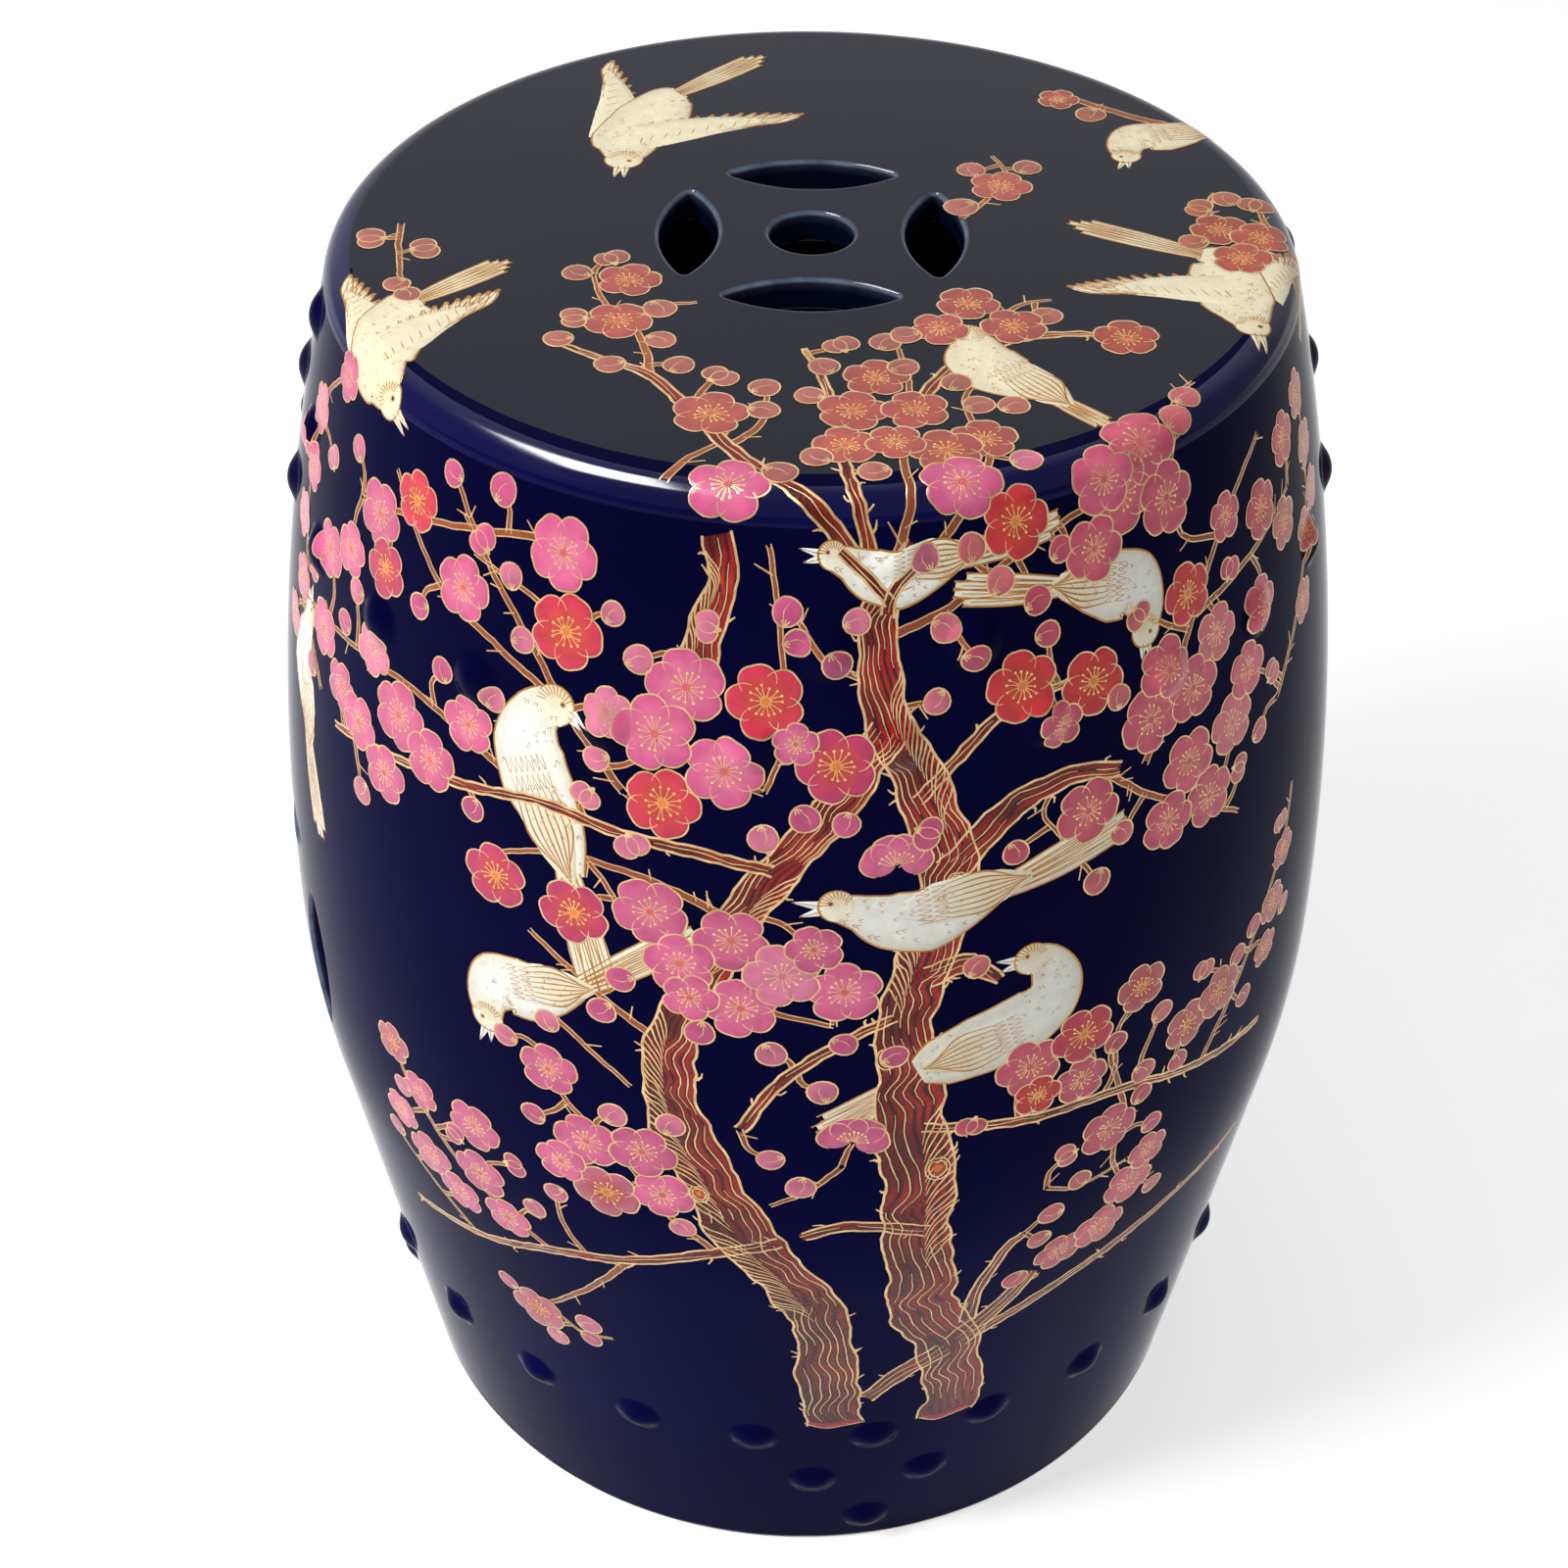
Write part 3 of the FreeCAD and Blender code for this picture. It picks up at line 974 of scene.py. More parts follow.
def blossom(brush, x, y, radius, kind="pink", layer=0):
    """Five-petalled plum blossom with gilt outlines, or a fan of petals seen from the side."""
    base = BLOSSOM_LAYER + layer * LAYER_STEP
    origin = np.array([x, y], float)
    inner, outer, heart = blossom_colours(kind, is_under_reflection(brush.chart, x, y))
    inner, outer = inner * dusk(brush.chart, x), outer * dusk(brush.chart, x)
    sideways = kind == "side"
    if sideways:
        count, stamens, spread, out = 4, 10, math.radians(46), 0.5
        turn = math.pi / 2 - 1.5 * spread + rng.uniform(-0.4, 0.4)
    else:
        count, stamens, spread, out = 5, 14, 2 * math.pi / 5, 0.56
        turn = rng.uniform(0, 2 * math.pi)
    for k in range(count):
        direction = turn + k * spread
        size = radius * PETAL_SHARE * rng.uniform(0.93, 1.05)
        centre = origin + heading(direction) * radius * out
        outline = petal_outline(centre, size, direction, PETAL_SIDES, notch=0.08, rng=rng)
        lift = base + PETAL_STEP * k
        petal(brush, centre, outline, lift, 0.008, inner, outer, origin, radius * 0.85)
        tip = smooth_path(outline[GILT_EDGE], 1.0)[0]
        gold_line(brush, tip, (0.14, 0.28, 0.28, 0.26, 0.14), lift + PETAL_GILT_LIFT)
    top = base + HEART_LIFT
    if not sideways:
        disc(brush.enamel, origin, radius * HEART_SHARE, top, 0.003, heart, 12)
    for k in range(stamens):
        if sideways:
            angle = turn + spread * (3.2 * k / (stamens - 1) - 0.1)
        else:
            angle = turn + 2 * math.pi * k / stamens + rng.uniform(-0.1, 0.1)
        unit = heading(angle)
        start, end = radius * 0.1, radius * rng.uniform(0.34, 0.46)
        bend = left_of(unit) * radius * rng.uniform(-0.03, 0.03)
        stamen = [origin + unit * start, origin + unit * (start + end) / 2 + bend, origin + unit * end]
        gold_line(brush, stamen, 0.17, top + 0.007, step=1.6, tint=(1.1, 1.0, 0.8))
        disc(brush.gold, origin + unit * end, radius * 0.045, top + 0.008, 0.005, (1.2, 1.15, 0.9), 7)


def bud(brush, x, y, radius, direction, layer=0, double=False):
    """Closed bud: one or two round petals, with a small calyx towards its twig."""
    base = BLOSSOM_LAYER + layer * LAYER_STEP
    origin = np.array([x, y], float)
    unit = heading(direction)
    side = left_of(unit)
    # Painted reflection: buds inside the seat's reflection circle take a duller colour
    if is_under_reflection(brush.chart, x, y):
        tint = REFLECTION_DULLED_PALE
    else:
        tint = ROSE if rng.random() < 0.6 else PINK
    tint = tint * rng.uniform(0.85, 1.1) * dusk(brush.chart, x)
    spots = [(origin, 1.0)]
    if double:
        spots = [(origin + side * radius * 0.45, 0.8), (origin - side * radius * 0.4 + unit * 0.4, 0.86)]
    for k, (centre, size) in enumerate(spots):
        outline = petal_outline(centre, radius * size, direction, 16, squash=1.08, notch=0.0, rng=rng)
        lift = base + 0.002 * k
        petal(brush, centre, outline, lift, 0.009, tint * 0.75, tint, centre - unit * radius, radius * 2)
        gold_line(brush, outline, 0.27, lift + PETAL_GILT_LIFT, closed=True)
    if not double:
        foot, tip = origin - unit * radius * 0.7 + side * 0.6, origin + unit * radius * 0.55
        fold = [foot, origin + side * radius * 0.25, tip]
        gold_line(brush, fold, (0.1, 0.22, 0.1), base + 0.017, step=1.5)
    calyx = origin - unit * radius * 0.95
    for lean in (-0.6, 0.0, 0.6):
        tip = calyx + unit * radius * 0.4 * math.cos(lean) + side * radius * 0.5 * math.sin(lean)
        gold_line(brush, [calyx - unit * 0.6, tip], 0.3, base + 0.016)


def wave(seed, place, turns):
    """Smooth wander in -1..1 along a path."""
    r = random.Random(seed)
    total = np.zeros_like(place)
    for k in range(1, 5):
        total += math.pow(0.62, k) * np.sin(place * turns * k * 2 * math.pi + r.uniform(0, ANY_PHASE))
    return total


GRAIN_SPACING = 3.1
# Spacing of a trunk's points along it and across it
TRUNK_STEP = 1.3
TRUNK_COLUMN = 0.62
# How far a trunk's edges wander, as a share of its width, and how jagged they are in mm
EDGE_WANDER = 0.13
EDGE_JAG = 0.28
# How far the grain drifts to one side, as a share of the width
GRAIN_DRIFT = 0.30
# Share of bright bark where the wood glows, and of colour lost where it lies in shade
BARK_GLOW = 0.6
BARK_SHADE = 0.62
# The bark's middle rises this far, its gilt grain lies this high, and a twig's gilt edges this high
BARK_CROWN = 0.012
GRAIN_LIFT = 0.022
TWIG_GILT_LIFT = 0.012
# Steps of a scale's line: how far back along the wood, and how far out on its side
SCALE_STEPS = ((0.0, 0.97), (2.2, 0.80), (4.8, 0.55), (8.0, 0.34), (12.0, 0.2))
# Rings of a knot: share of its size, colour and height above the bark
KNOT_RINGS = ((1.0, BARK_DARK, 0.016), (0.72, BARK_BRIGHT, 0.022), (0.36, ORANGE * 0.9, 0.027))


def trunk(brush, points, half_widths, seed, low, high, knots=(), scales=(), spurs=11.0, layer=BARK_LAYER):
    """Old wood: a band with uneven edges, dark furrows, gilt grain lines that run side by side,
    stretches of curved scales (start, end and side), knots and short spurs."""
    r = random.Random(seed)
    path, place = smooth_path(points, TRUNK_STEP)
    normal, tangent = path_normals(path)
    length = float(np.linalg.norm(np.diff(path, axis=0), axis=1).sum())
    widths = shares(half_widths, place)
    turns = length / 40.0
    edges = {}
    for side in (-1, 1):
        wander = EDGE_WANDER * wave(seed + side, place, turns) * widths
        jag = EDGE_JAG * wave(seed + 5 + side, place, length / 9.0)
        edges[side] = widths + wander + jag
    drift = GRAIN_DRIFT * wave(seed + 3, place, turns * 0.9)

    def reach(across):
        return np.where(across < 0, edges[-1][:, None], edges[1][:, None]) * across

    lines = max(2, int(round(2 * max(half_widths) / GRAIN_SPACING)))
    columns = max(7, int(2 * max(half_widths) / TRUNK_COLUMN))
    t = np.r_[-1, np.linspace(-0.985, 0.985, columns), 1]
    across = np.broadcast_to(t[None], (len(path), len(t)))
    grid = path[:, None] + normal[:, None] * reach(across)[:, :, None]
    heights = np.broadcast_to(layer + BARK_CROWN * (1 - t ** 2), across.shape).copy()
    heights[:, [0, -1]] = RIM
    heights[[0, -1]] = RIM
    # Furrows lie beside the grain lines
    phase = (across - drift[:, None] * (1 - across ** 2) + 1) / 2 * lines
    furrow = np.clip(1.45 - 3.3 * np.abs((phase % 1.0) - 0.5), 0, 1)[:, :, None]
    glow = 0.5 + 0.9 * wave(seed + 9, place, turns * 1.7)[:, None] - np.abs(across) * 0.5
    glow = np.clip(glow, 0, 1)[:, :, None]
    mix = np.clip(place * 1.6 - 0.1, 0, 1)[:, None, None]
    ground = low * (1 - mix) + high * mix
    ground = ground * (1 - BARK_GLOW * glow) + BARK_BRIGHT * BARK_GLOW * glow
    # One side of the wood lies in shade
    shade = 0.45 + 0.75 * across + 0.7 * wave(seed + 21, place, turns * 0.8)[:, None]
    ground = ground * (1 - BARK_SHADE * np.clip(shade, 0, 1))[:, :, None]
    tints = BARK_DARK * (1 - furrow) + ground * furrow
    brush.enamel.add(grid, heights.ravel(), tints.reshape(-1, 3), strip_triangles(*across.shape))
    top = layer + GRAIN_LIFT
    for side in (-1, 1):
        line = path + normal * (side * edges[side] * 0.98)[:, None]
        gold_line(brush, line[::2], 0.46, top, step=3.0)
    along_path = place * length
    for k in range(1, lines):
        u = -1 + 2 * k / lines
        clear = np.ones(len(path), bool)
        for start, end, side in scales:
            if u * side > 0.1:
                clear &= (along_path < start * length) | (along_path > end * length)
        at = np.clip(u + drift * (1 - u ** 2), -0.94, 0.94)
        line = path + normal * reach(at[:, None])
        start = r.uniform(0, 0.05)
        while start < 0.97:
            end = min(1.0, start + r.uniform(18, 70) / length)
            pick = np.flatnonzero((place >= start) & (place <= end) & clear)
            for run in np.split(pick, np.flatnonzero(np.diff(pick) > 1) + 1):
                if len(run) > 4:
                    gold_line(brush, line[run[::2]], (0.14, 0.31, 0.29, 0.14), top, step=2.5)
            start = end + r.uniform(2, 7) / length
    # Scales: curved lines leave one edge and bend down along the wood
    for start, end, side in scales:
        for at in np.arange(start * length, end * length, GRAIN_SPACING * 0.95):
            arc = []
            for back, u in SCALE_STEPS:
                i = int(np.clip(np.searchsorted(along_path, at - back), 0, len(path) - 1))
                arc.append(path[i] + normal[i] * side * u * edges[side][i])
            gold_line(brush, arc, (0.36, 0.34, 0.28, 0.12), top + 0.002, step=1.5)
    for k in range(int(length / spurs)):
        i = r.randrange(2, len(path) - 2)
        side = r.choice((-1, 1))
        foot = path[i] + normal[i] * side * edges[side][i] * 0.93
        bend = foot + normal[i] * side * r.uniform(1.0, 1.8) + tangent[i] * r.uniform(-0.6, 1.6)
        tip = bend + normal[i] * side * r.uniform(0.4, 1.8) + tangent[i] * r.uniform(-1.0, 2.6)
        spur = [foot, bend, tip]
        ribbon(brush, spur, (0.8, 0.55, 0.2), TWIG_LAYER, 0.006, BARK_BROWN, across=2, step=1.2)
        gold_line(brush, spur, (0.42, 0.34, 0.2), layer + TWIG_GILT_LIFT, step=1.2)
    for at, side, size in knots:
        i = int(at * (len(path) - 1))
        spot = path[i] + normal[i] * side * widths[i]
        turn = math.atan2(tangent[i, 1], tangent[i, 0])
        for grow, tint, lift in KNOT_RINGS:
            outline = petal_outline(spot, size * grow, turn, 16, squash=1.45, notch=0.2, rng=r)
            petal(brush, spot, outline, layer + lift, 0.003, tint, tint, spot, size)
            if grow > 0.5:
                gold_line(brush, outline, 0.34, layer + lift + 0.007, closed=True)
    return path


def ragged_foot(brush, x, s, half_width):
    """Ragged rosy hem where a trunk's painting ends."""
    hem = ((-1.0, 2.5), (-0.35, -1.0), (0.3, 0.2), (1.0, 2.0))
    points = [(x + half_width * across, s + up) for across, up in hem]
    ribbon(brush, points, (0.9, 2.0, 1.8, 0.9), BARK_LAYER + 0.02, 0.006, RED * 0.75, across=3)
    gold_line(brush, [(a, b - 1.6) for a, b in points], 0.26, BARK_LAYER + 0.03)


TWIG_STEP = 2.0
TWIG_SPUR_SPACING = 15
# A branch that starts thinner than this is a twig, unless it crosses in front of birds
THICK_BRANCH = 1.8


def twig(brush, points, start_width, end_width, spurs=True, layer=TWIG_LAYER):
    """Thin branch: a brown band with gilt edges and a few short spurs."""
    tint = TWIG * rng.uniform(0.75, 1.15)
    path, place = smooth_path(points, TWIG_STEP)
    path = path + path_normals(path)[0] * (0.22 * wave(rng.randrange(999), place, len(path) / 9.0))[:, None]
    normal, tangent = path_normals(path)
    ribbon(brush, path, (start_width, end_width), layer, 0.006, tint, across=2, step=2.0)
    widths = np.interp(place, (0, 1), (start_width, end_width))
    for side in (-1, 1):
        gold_line(brush, path + normal * (widths * side)[:, None], 0.22, layer + TWIG_GILT_LIFT, step=2.0)
    if spurs:
        for k in range(int(len(path) * TWIG_STEP / TWIG_SPUR_SPACING)):
            at = rng.randrange(1, max(2, len(path) - 1))
            side = rng.choice((-1, 1))
            tip = path[at] + normal[at] * side * rng.uniform(2.5, 5.5) + tangent[at] * rng.uniform(1.5, 4.5)
            ribbon(brush, [path[at], tip], (0.6, 0.3), layer, 0.005, tint, across=2, step=2.0)
            gold_line(brush, [path[at], tip], (0.26, 0.2), layer + TWIG_GILT_LIFT, step=2.0)


def branch(brush, points, start_width, end_width, near=False):
    """Branch: bark with grain where it is thick enough, or a twig."""
    if start_width < THICK_BRANCH and not near:
        twig(brush, points, start_width * 0.8, end_width * 0.8)
        return
    widths = (start_width, start_width * 0.85, (start_width + end_width) / 2, end_width)
    trunk(brush, points, widths, rng.randrange(9999), BARK_BROWN, BARK_RED * 0.8, spurs=16.0,
          layer=NEAR_TWIG_LAYER if near else BARK_LAYER)


# Birds are drawn facing left at their own size, then placed

class Bird:
    """Pen for a bird's own drawing, which is mirrored, turned and scaled onto a chart."""

    def __init__(self, brush, x=0, y=0, turn=0, size=1, flip=False):
        self.brush = brush
        self.origin = np.array([x, y], float)
        mirror = np.diag([-1.0 if flip else 1.0, 1.0])
        self.matrix = size * mirror @ turned(math.radians(turn))
        self.size = size
        on_seat = brush.chart == DISC
        self.cream = CREAM_SEAT if on_seat else CREAM
        self.white = CREAM_SEAT * 1.06 if on_seat else WHITE_FEATHER

    def put(self, points):
        return self.origin + np.asarray(points, float) @ self.matrix

    def band(self, points, widths, base, crown, tint, across, step, edge_tint=None):
        widths = np.array(widths) * self.size
        ribbon(self.brush, self.put(points), widths, base, crown, tint, across, step, edge_tint)

    def ink(self, points, half_width, base, step=2.0, placed=False):
        points = points if placed else self.put(points)
        gold_line(self.brush, points, half_width, base, step, tint=FEATHER_INK)


def feather(bird, start, end, width, base, tint, bend, pointed=True):
    run = end - start
    middle = start + run * 0.5 + left_of(run) * bend
    widths, tip = ((0.55, 0.95, 1.0, 0.8, 0.15), 0.1) if pointed else ((0.5, 0.7, 0.85, 1.0, 0.7), 0.6)
    bird.band([start, middle, end], np.array(widths) * width, base, 0.004, tint, 2, 2.4)
    edge = left_of(run) / max(np.linalg.norm(run), 1e-6) * width
    for way in (-1, 1):
        outline = [start + way * edge * 0.5, middle + way * edge * 0.85, end + way * edge * tip]
        bird.ink(outline, 0.34, base + 0.009, 2.5)
    bird.ink([start, middle, start + run * 0.93], (0.17, 0.34, 0.20), base + 0.009, 2.5)


def ticks(bird, path, wide, base, count, reach):
    """Small curved feather marks scattered along a body."""
    normal, tangent = path_normals(path)
    for _ in range(count):
        i = rng.randrange(2, len(path) - 2)
        spot = path[i] + normal[i] * wide[i] * rng.uniform(-reach, reach)
        size = rng.uniform(0.8, 1.9)
        bow, back = normal[i] * size * 0.45, tangent[i] * size * 0.5
        mark = [spot - bow - back, spot + tangent[i] * size * 0.4, spot + bow - back]
        bird.ink(mark, (0.08, 0.24, 0.08), base, 0.8, placed=True)


BODY_TICKS = 46
CROWN_STROKES = 11


def bird_body(bird, base, spine, widths, head, beak, eye):
    """Body, neck and head as one rounded band from the rump to the crown, with beak and eye."""
    cream, white = bird.cream, bird.white
    tint = np.array([cream, white, white, white * 0.97, OCHRE * 0.35 + cream * 0.65])
    bird.band(spine, widths, base, 0.012, tint, 8, 1.6, cream * 0.85)
    path, place = smooth_path(bird.put(spine), 1.6)
    wide = shares(np.array(widths) * bird.size, place)
    for side in (-1, 1):
        flank = path + path_normals(path)[0] * (wide * side)[:, None]
        bird.ink(flank[1:-1], 0.36, base + 0.008, placed=True)
    hx, hy, hr = head
    middle = np.array([hx, hy])
    outline = bird.put(petal_outline(middle, hr, 0.0, 20, notch=0.0))
    centre, crown = bird.put([middle, (hx + hr * 0.2, hy + hr * 1.1)])
    tints = OCHRE * 0.75 + cream * 0.25, cream * 1.02
    petal(bird.brush, centre, outline, base + 0.010, 0.006, *tints, crown, hr * 1.5 * bird.size)
    # The head's outline stays open towards the neck
    ahead = math.atan2(hy - spine[-2][1], hx - spine[-2][0])
    around = ahead + np.radians(np.linspace(-105, 105, 15))
    outline = middle + hr * np.stack([np.cos(around), np.sin(around)], 1)
    bird.ink(outline, (0.17, 0.34, 0.34, 0.17), base + 0.016, 3.0)
    for half in beak:
        bird.band(half, (1.7, 1.0, 0.12), base + 0.010, 0.006, white, 2, 1.2)
        bird.ink(half, (0.28, 0.17), base + 0.019)
    spot = bird.put([eye])[0]
    disc(bird.brush.gold, spot, 1.25 * bird.size, base + 0.020, 0.004, (0.75, 0.62, 0.5), 12)
    disc(bird.brush.enamel, spot, 0.66 * bird.size, base + 0.026, 0.003, (0.05, 0.02, 0.01), 10)
    ticks(bird, path, wide, base + 0.020, BODY_TICKS, 0.8)
    # The crown and nape are gilt with fine strokes
    for k in range(CROWN_STROKES):
        angle = math.radians(20 + 14 * k)
        stroke = [middle + hr * 0.5 * heading(angle), middle + hr * 0.95 * heading(angle + 0.15)]
        bird.ink(stroke, (0.20, 0.31), base + 0.019, 1.2)


def folded_wing(bird, start, end, width, base):
    """Folded wing with rows of long feathers that lie over each other."""
    cream = bird.cream
    start, run = np.array(start, float), np.subtract(end, start).astype(float)
    side = left_of(run) / np.linalg.norm(run)
    tint = np.array([bird.white, cream * 0.9 + OCHRE * 0.08, cream * 0.6 + OCHRE * 0.4])
    widths = np.array([0.35, 1.0, 1.05, 0.75, 0.1]) * width
    bird.band([start, start + run * 0.5, end], widths, base, 0.006, tint, 6, 1.8)
    for k in range(8):
        t = -0.92 + 1.84 * k / 7
        a = start + run * (0.30 + 0.05 * abs(t)) + side * width * t * 0.9
        b = start + run * 0.62 + side * width * t
        c = start + run * (0.97 - 0.12 * abs(t)) + side * width * t * 0.2
        bird.ink([a, b, c], (0.20, 0.45, 0.28), base + 0.012)
    # Two rows of short covert feathers
    for row in (0.12, 0.24):
        for k in range(7):
            t = -0.78 + 1.56 * k / 6
            a, c = (start + run * row + side * width * (t + way) * 0.9 for way in (-0.13, 0.13))
            b = start + run * (row + 0.10) + side * width * t
            bird.ink([a, b, c], (0.10, 0.20, 0.10), base + 0.013, 0.5)


def tail(bird, root, tip, width, base, feathers=4):
    root, run = np.array(root, float), np.subtract(tip, root).astype(float)
    side = left_of(run) / np.linalg.norm(run)
    for k in range(feathers):
        t = k / (feathers - 1) - 0.5
        start, end = root + side * width * t * 0.6, tip + side * width * t * 1.7 - run * 0.12 * abs(t) * 2
        tint = bird.cream * (0.88 + 0.09 * (k % 2)) + OCHRE * 0.07
        feather(bird, start, end, width * 0.40, base + 0.0015 * k, tint, 0.02 * t, False)


# Poses: tail from root to tip, spine from rump to crown, half widths, head, beak halves, eye, wing
POSES = {
    "level": dict(
        tail=((17, -1), (66, 6), 5.6), wing=((-8, 1), (33, 1), 7.4),
        head=(-25, 6.2, 5.4), eye=(-26.8, 7.4),
        spine=[(24, 0), (12, -2.5), (0, -4), (-11, -1.5), (-19, 3), (-26, 6)],
        widths=(2.5, 7.0, 11.0, 9.6, 6.0, 4.2),
        beak=(((-29.5, 7), (-37.5, 9.2)), ((-29.5, 5.2), (-36, 4.0))),
    ),
    "plump": dict(
        tail=((16, -1), (50, 2), 3.6), wing=((-6, 1), (33, 1), 8.6),
        head=(-24, 5.6, 6.4), eye=(-26.4, 7.0),
        spine=[(23, 0), (13, -2.0), (1, -3.5), (-10, -1.5), (-18, 3), (-25, 6)],
        widths=(3.0, 9.0, 13.4, 12.6, 8.6, 5.4),
        beak=(((-29.5, 5), (-36.5, 3.2)), ((-29, 3.2), (-34.5, 0.6))),
    ),
    "upright": dict(
        tail=((8, -26), (21, -76), 5.8), wing=((-9, 8), (12, -38), 8.4),
        head=(3.5, 22.5, 6.6), eye=(6.2, 23.4),
        spine=[(12, -34), (7, -20), (-1, -6), (-5, 7), (-3, 17), (3, 24)],
        widths=(3.4, 8.4, 12.6, 12.0, 8.4, 5.4),
        beak=(((8.5, 22), (15.5, 18.5)), ((8, 20), (13.5, 16.8))),
    ),
    "curled": dict(
        tail=((-20, -12), (-58, -38), 5.0), wing=((9, -4), (-27, -14), 8.0),
        head=(7, 21, 5.6), eye=(5.4, 22.4),
        spine=[(-28, -15), (-21, -12), (-9, -8), (3, -4), (12, 2), (15, 10), (12, 18), (6.5, 22)],
        widths=(4.5, 9.6, 12.0, 12.4, 11.0, 8.4, 6.2, 4.6),
        beak=(((2.5, 21.8), (-4.5, 23.0)), ((2.5, 20), (-3, 18.8))),
    ),
    "bowed": dict(
        tail=((16, 5), (60, 42), 5.0), wing=((-8, 0), (27, 10), 8.0),
        head=(-13, -18.5, 6.0), eye=(-15, -19.6),
        spine=[(22, 9), (12, 4), (2, 0), (-8, -2), (-13, -10), (-13, -19)],
        widths=(3.5, 8.8, 12.0, 11.2, 7.8, 5.2),
        beak=(((-14, -23.5), (-16.5, -31)), ((-12, -23.4), (-12, -29.5))),
    ),
}
POSES["bowed_flat"] = dict(
    POSES["bowed"], tail=((18, 3), (64, 6), 5.0), wing=((-8, 0), (28, 4), 8.0),
    spine=[(24, 4), (12, 2), (2, 0), (-8, -2), (-13, -10), (-13, -19)])


# Heights of a perched bird's body and wing above its tail
BODY_LIFT = 0.014
WING_LIFT = 0.028
# Heights of a flying bird's tail, body and near wing above its far wing
FLYING_TAIL_LIFT = 0.003
FLYING_BODY_LIFT = 0.018
FLYING_WING_LIFT = 0.022


def perched_bird(brush, x, y, turn, size, flip, pose):
    bird = Bird(brush, x, y, turn, size, flip)
    form = POSES[pose]
    # The curled bird's tail hangs behind the trunks
    tail(bird, *form["tail"], FAR_LAYER if pose == "curled" else BIRD_LAYER)
    body = {part: form[part] for part in ("spine", "widths", "head", "beak", "eye")}
    bird_body(bird, BIRD_LAYER + BODY_LIFT, **body)
    folded_wing(bird, *form["wing"], BIRD_LAYER + WING_LIFT)


def spread_wing(bird, root, tip, base, side, feathers, length):
    """Open wing: long feathers leave its leading edge and overlap towards the tip."""
    root, run = np.array(root, float), np.subtract(tip, root).astype(float)
    along_wing = run / np.linalg.norm(run)
    out = left_of(along_wing) * side
    for k in range(feathers):
        t = k / (feathers - 1)
        start = root + run * (0.02 + 0.76 * t)
        angle = 1.05 - 0.95 * t
        direction = out * math.sin(angle) + along_wing * math.cos(angle)
        reach = length * (0.95 + 0.15 * math.sin(3.0 * t))
        tint = bird.cream * (0.95 + 0.08 * (k % 2))
        feather(bird, start, start + direction * reach, 2.3, base + 0.0008 * k, tint, -0.05 * side)
    leading = [root + out * 4.5, root + run * 0.5 + out * 4.0, root + run * 0.93]
    tint = np.array([bird.white, bird.cream])
    bird.band(leading, (9.0, 7.4, 4.6, 0.8), base + 0.012, 0.006, tint, 4, 1.8)
    for k in range(9):
        a = root + run * (0.06 + 0.09 * k) + out * 0.5
        bird.ink([a, a + out * 3.6 + along_wing * 2.4], (0.14, 0.28, 0.14), base + 0.021, 1.5)


def flying_bird(brush, head, chest, rump, tail_tip, near, far, plump):
    """Diving bird given by points on its chart; each wing is its root and tip."""
    bird = Bird(brush)
    head, chest, rump, tail_tip = (np.array(v, float) for v in (head, chest, rump, tail_tip))
    ahead = (head - chest) / np.linalg.norm(head - chest)
    side = left_of(ahead)

    def trailing(wing):
        root, tip = (np.array(v, float) for v in wing)
        (a, b), (c, d) = tip - root, tail_tip - root
        return 1 if a * d - b * c > 0 else -1

    spread_wing(bird, *far, BIRD_LAYER, trailing(far), 10, 15)
    tail(bird, rump, tail_tip, 4.2, BIRD_LAYER + FLYING_TAIL_LIFT, 5)
    spine = [rump + (tail_tip - rump) * 0.12, rump, rump * 0.6 + chest * 0.4]
    spine += [chest, (chest + head) / 2, head]
    beak = [(head + ahead * 4.5 + side * way, head + ahead * 12.5 + side * way * 1.6) for way in (1, -1)]
    widths = np.array((3.6, 8.0, 12.4, 12.6, 9.0, 5.6)) * plump
    eye = head + side * 1.8 + ahead
    head = (*head, 6.2 * plump)
    bird_body(bird, BIRD_LAYER + FLYING_BODY_LIFT, spine, widths, head, beak, eye)
    spread_wing(bird, *near, BIRD_LAYER + FLYING_WING_LIFT, trailing(near), 12, 16)


# Layout of the painting, as seen from the photograph's side

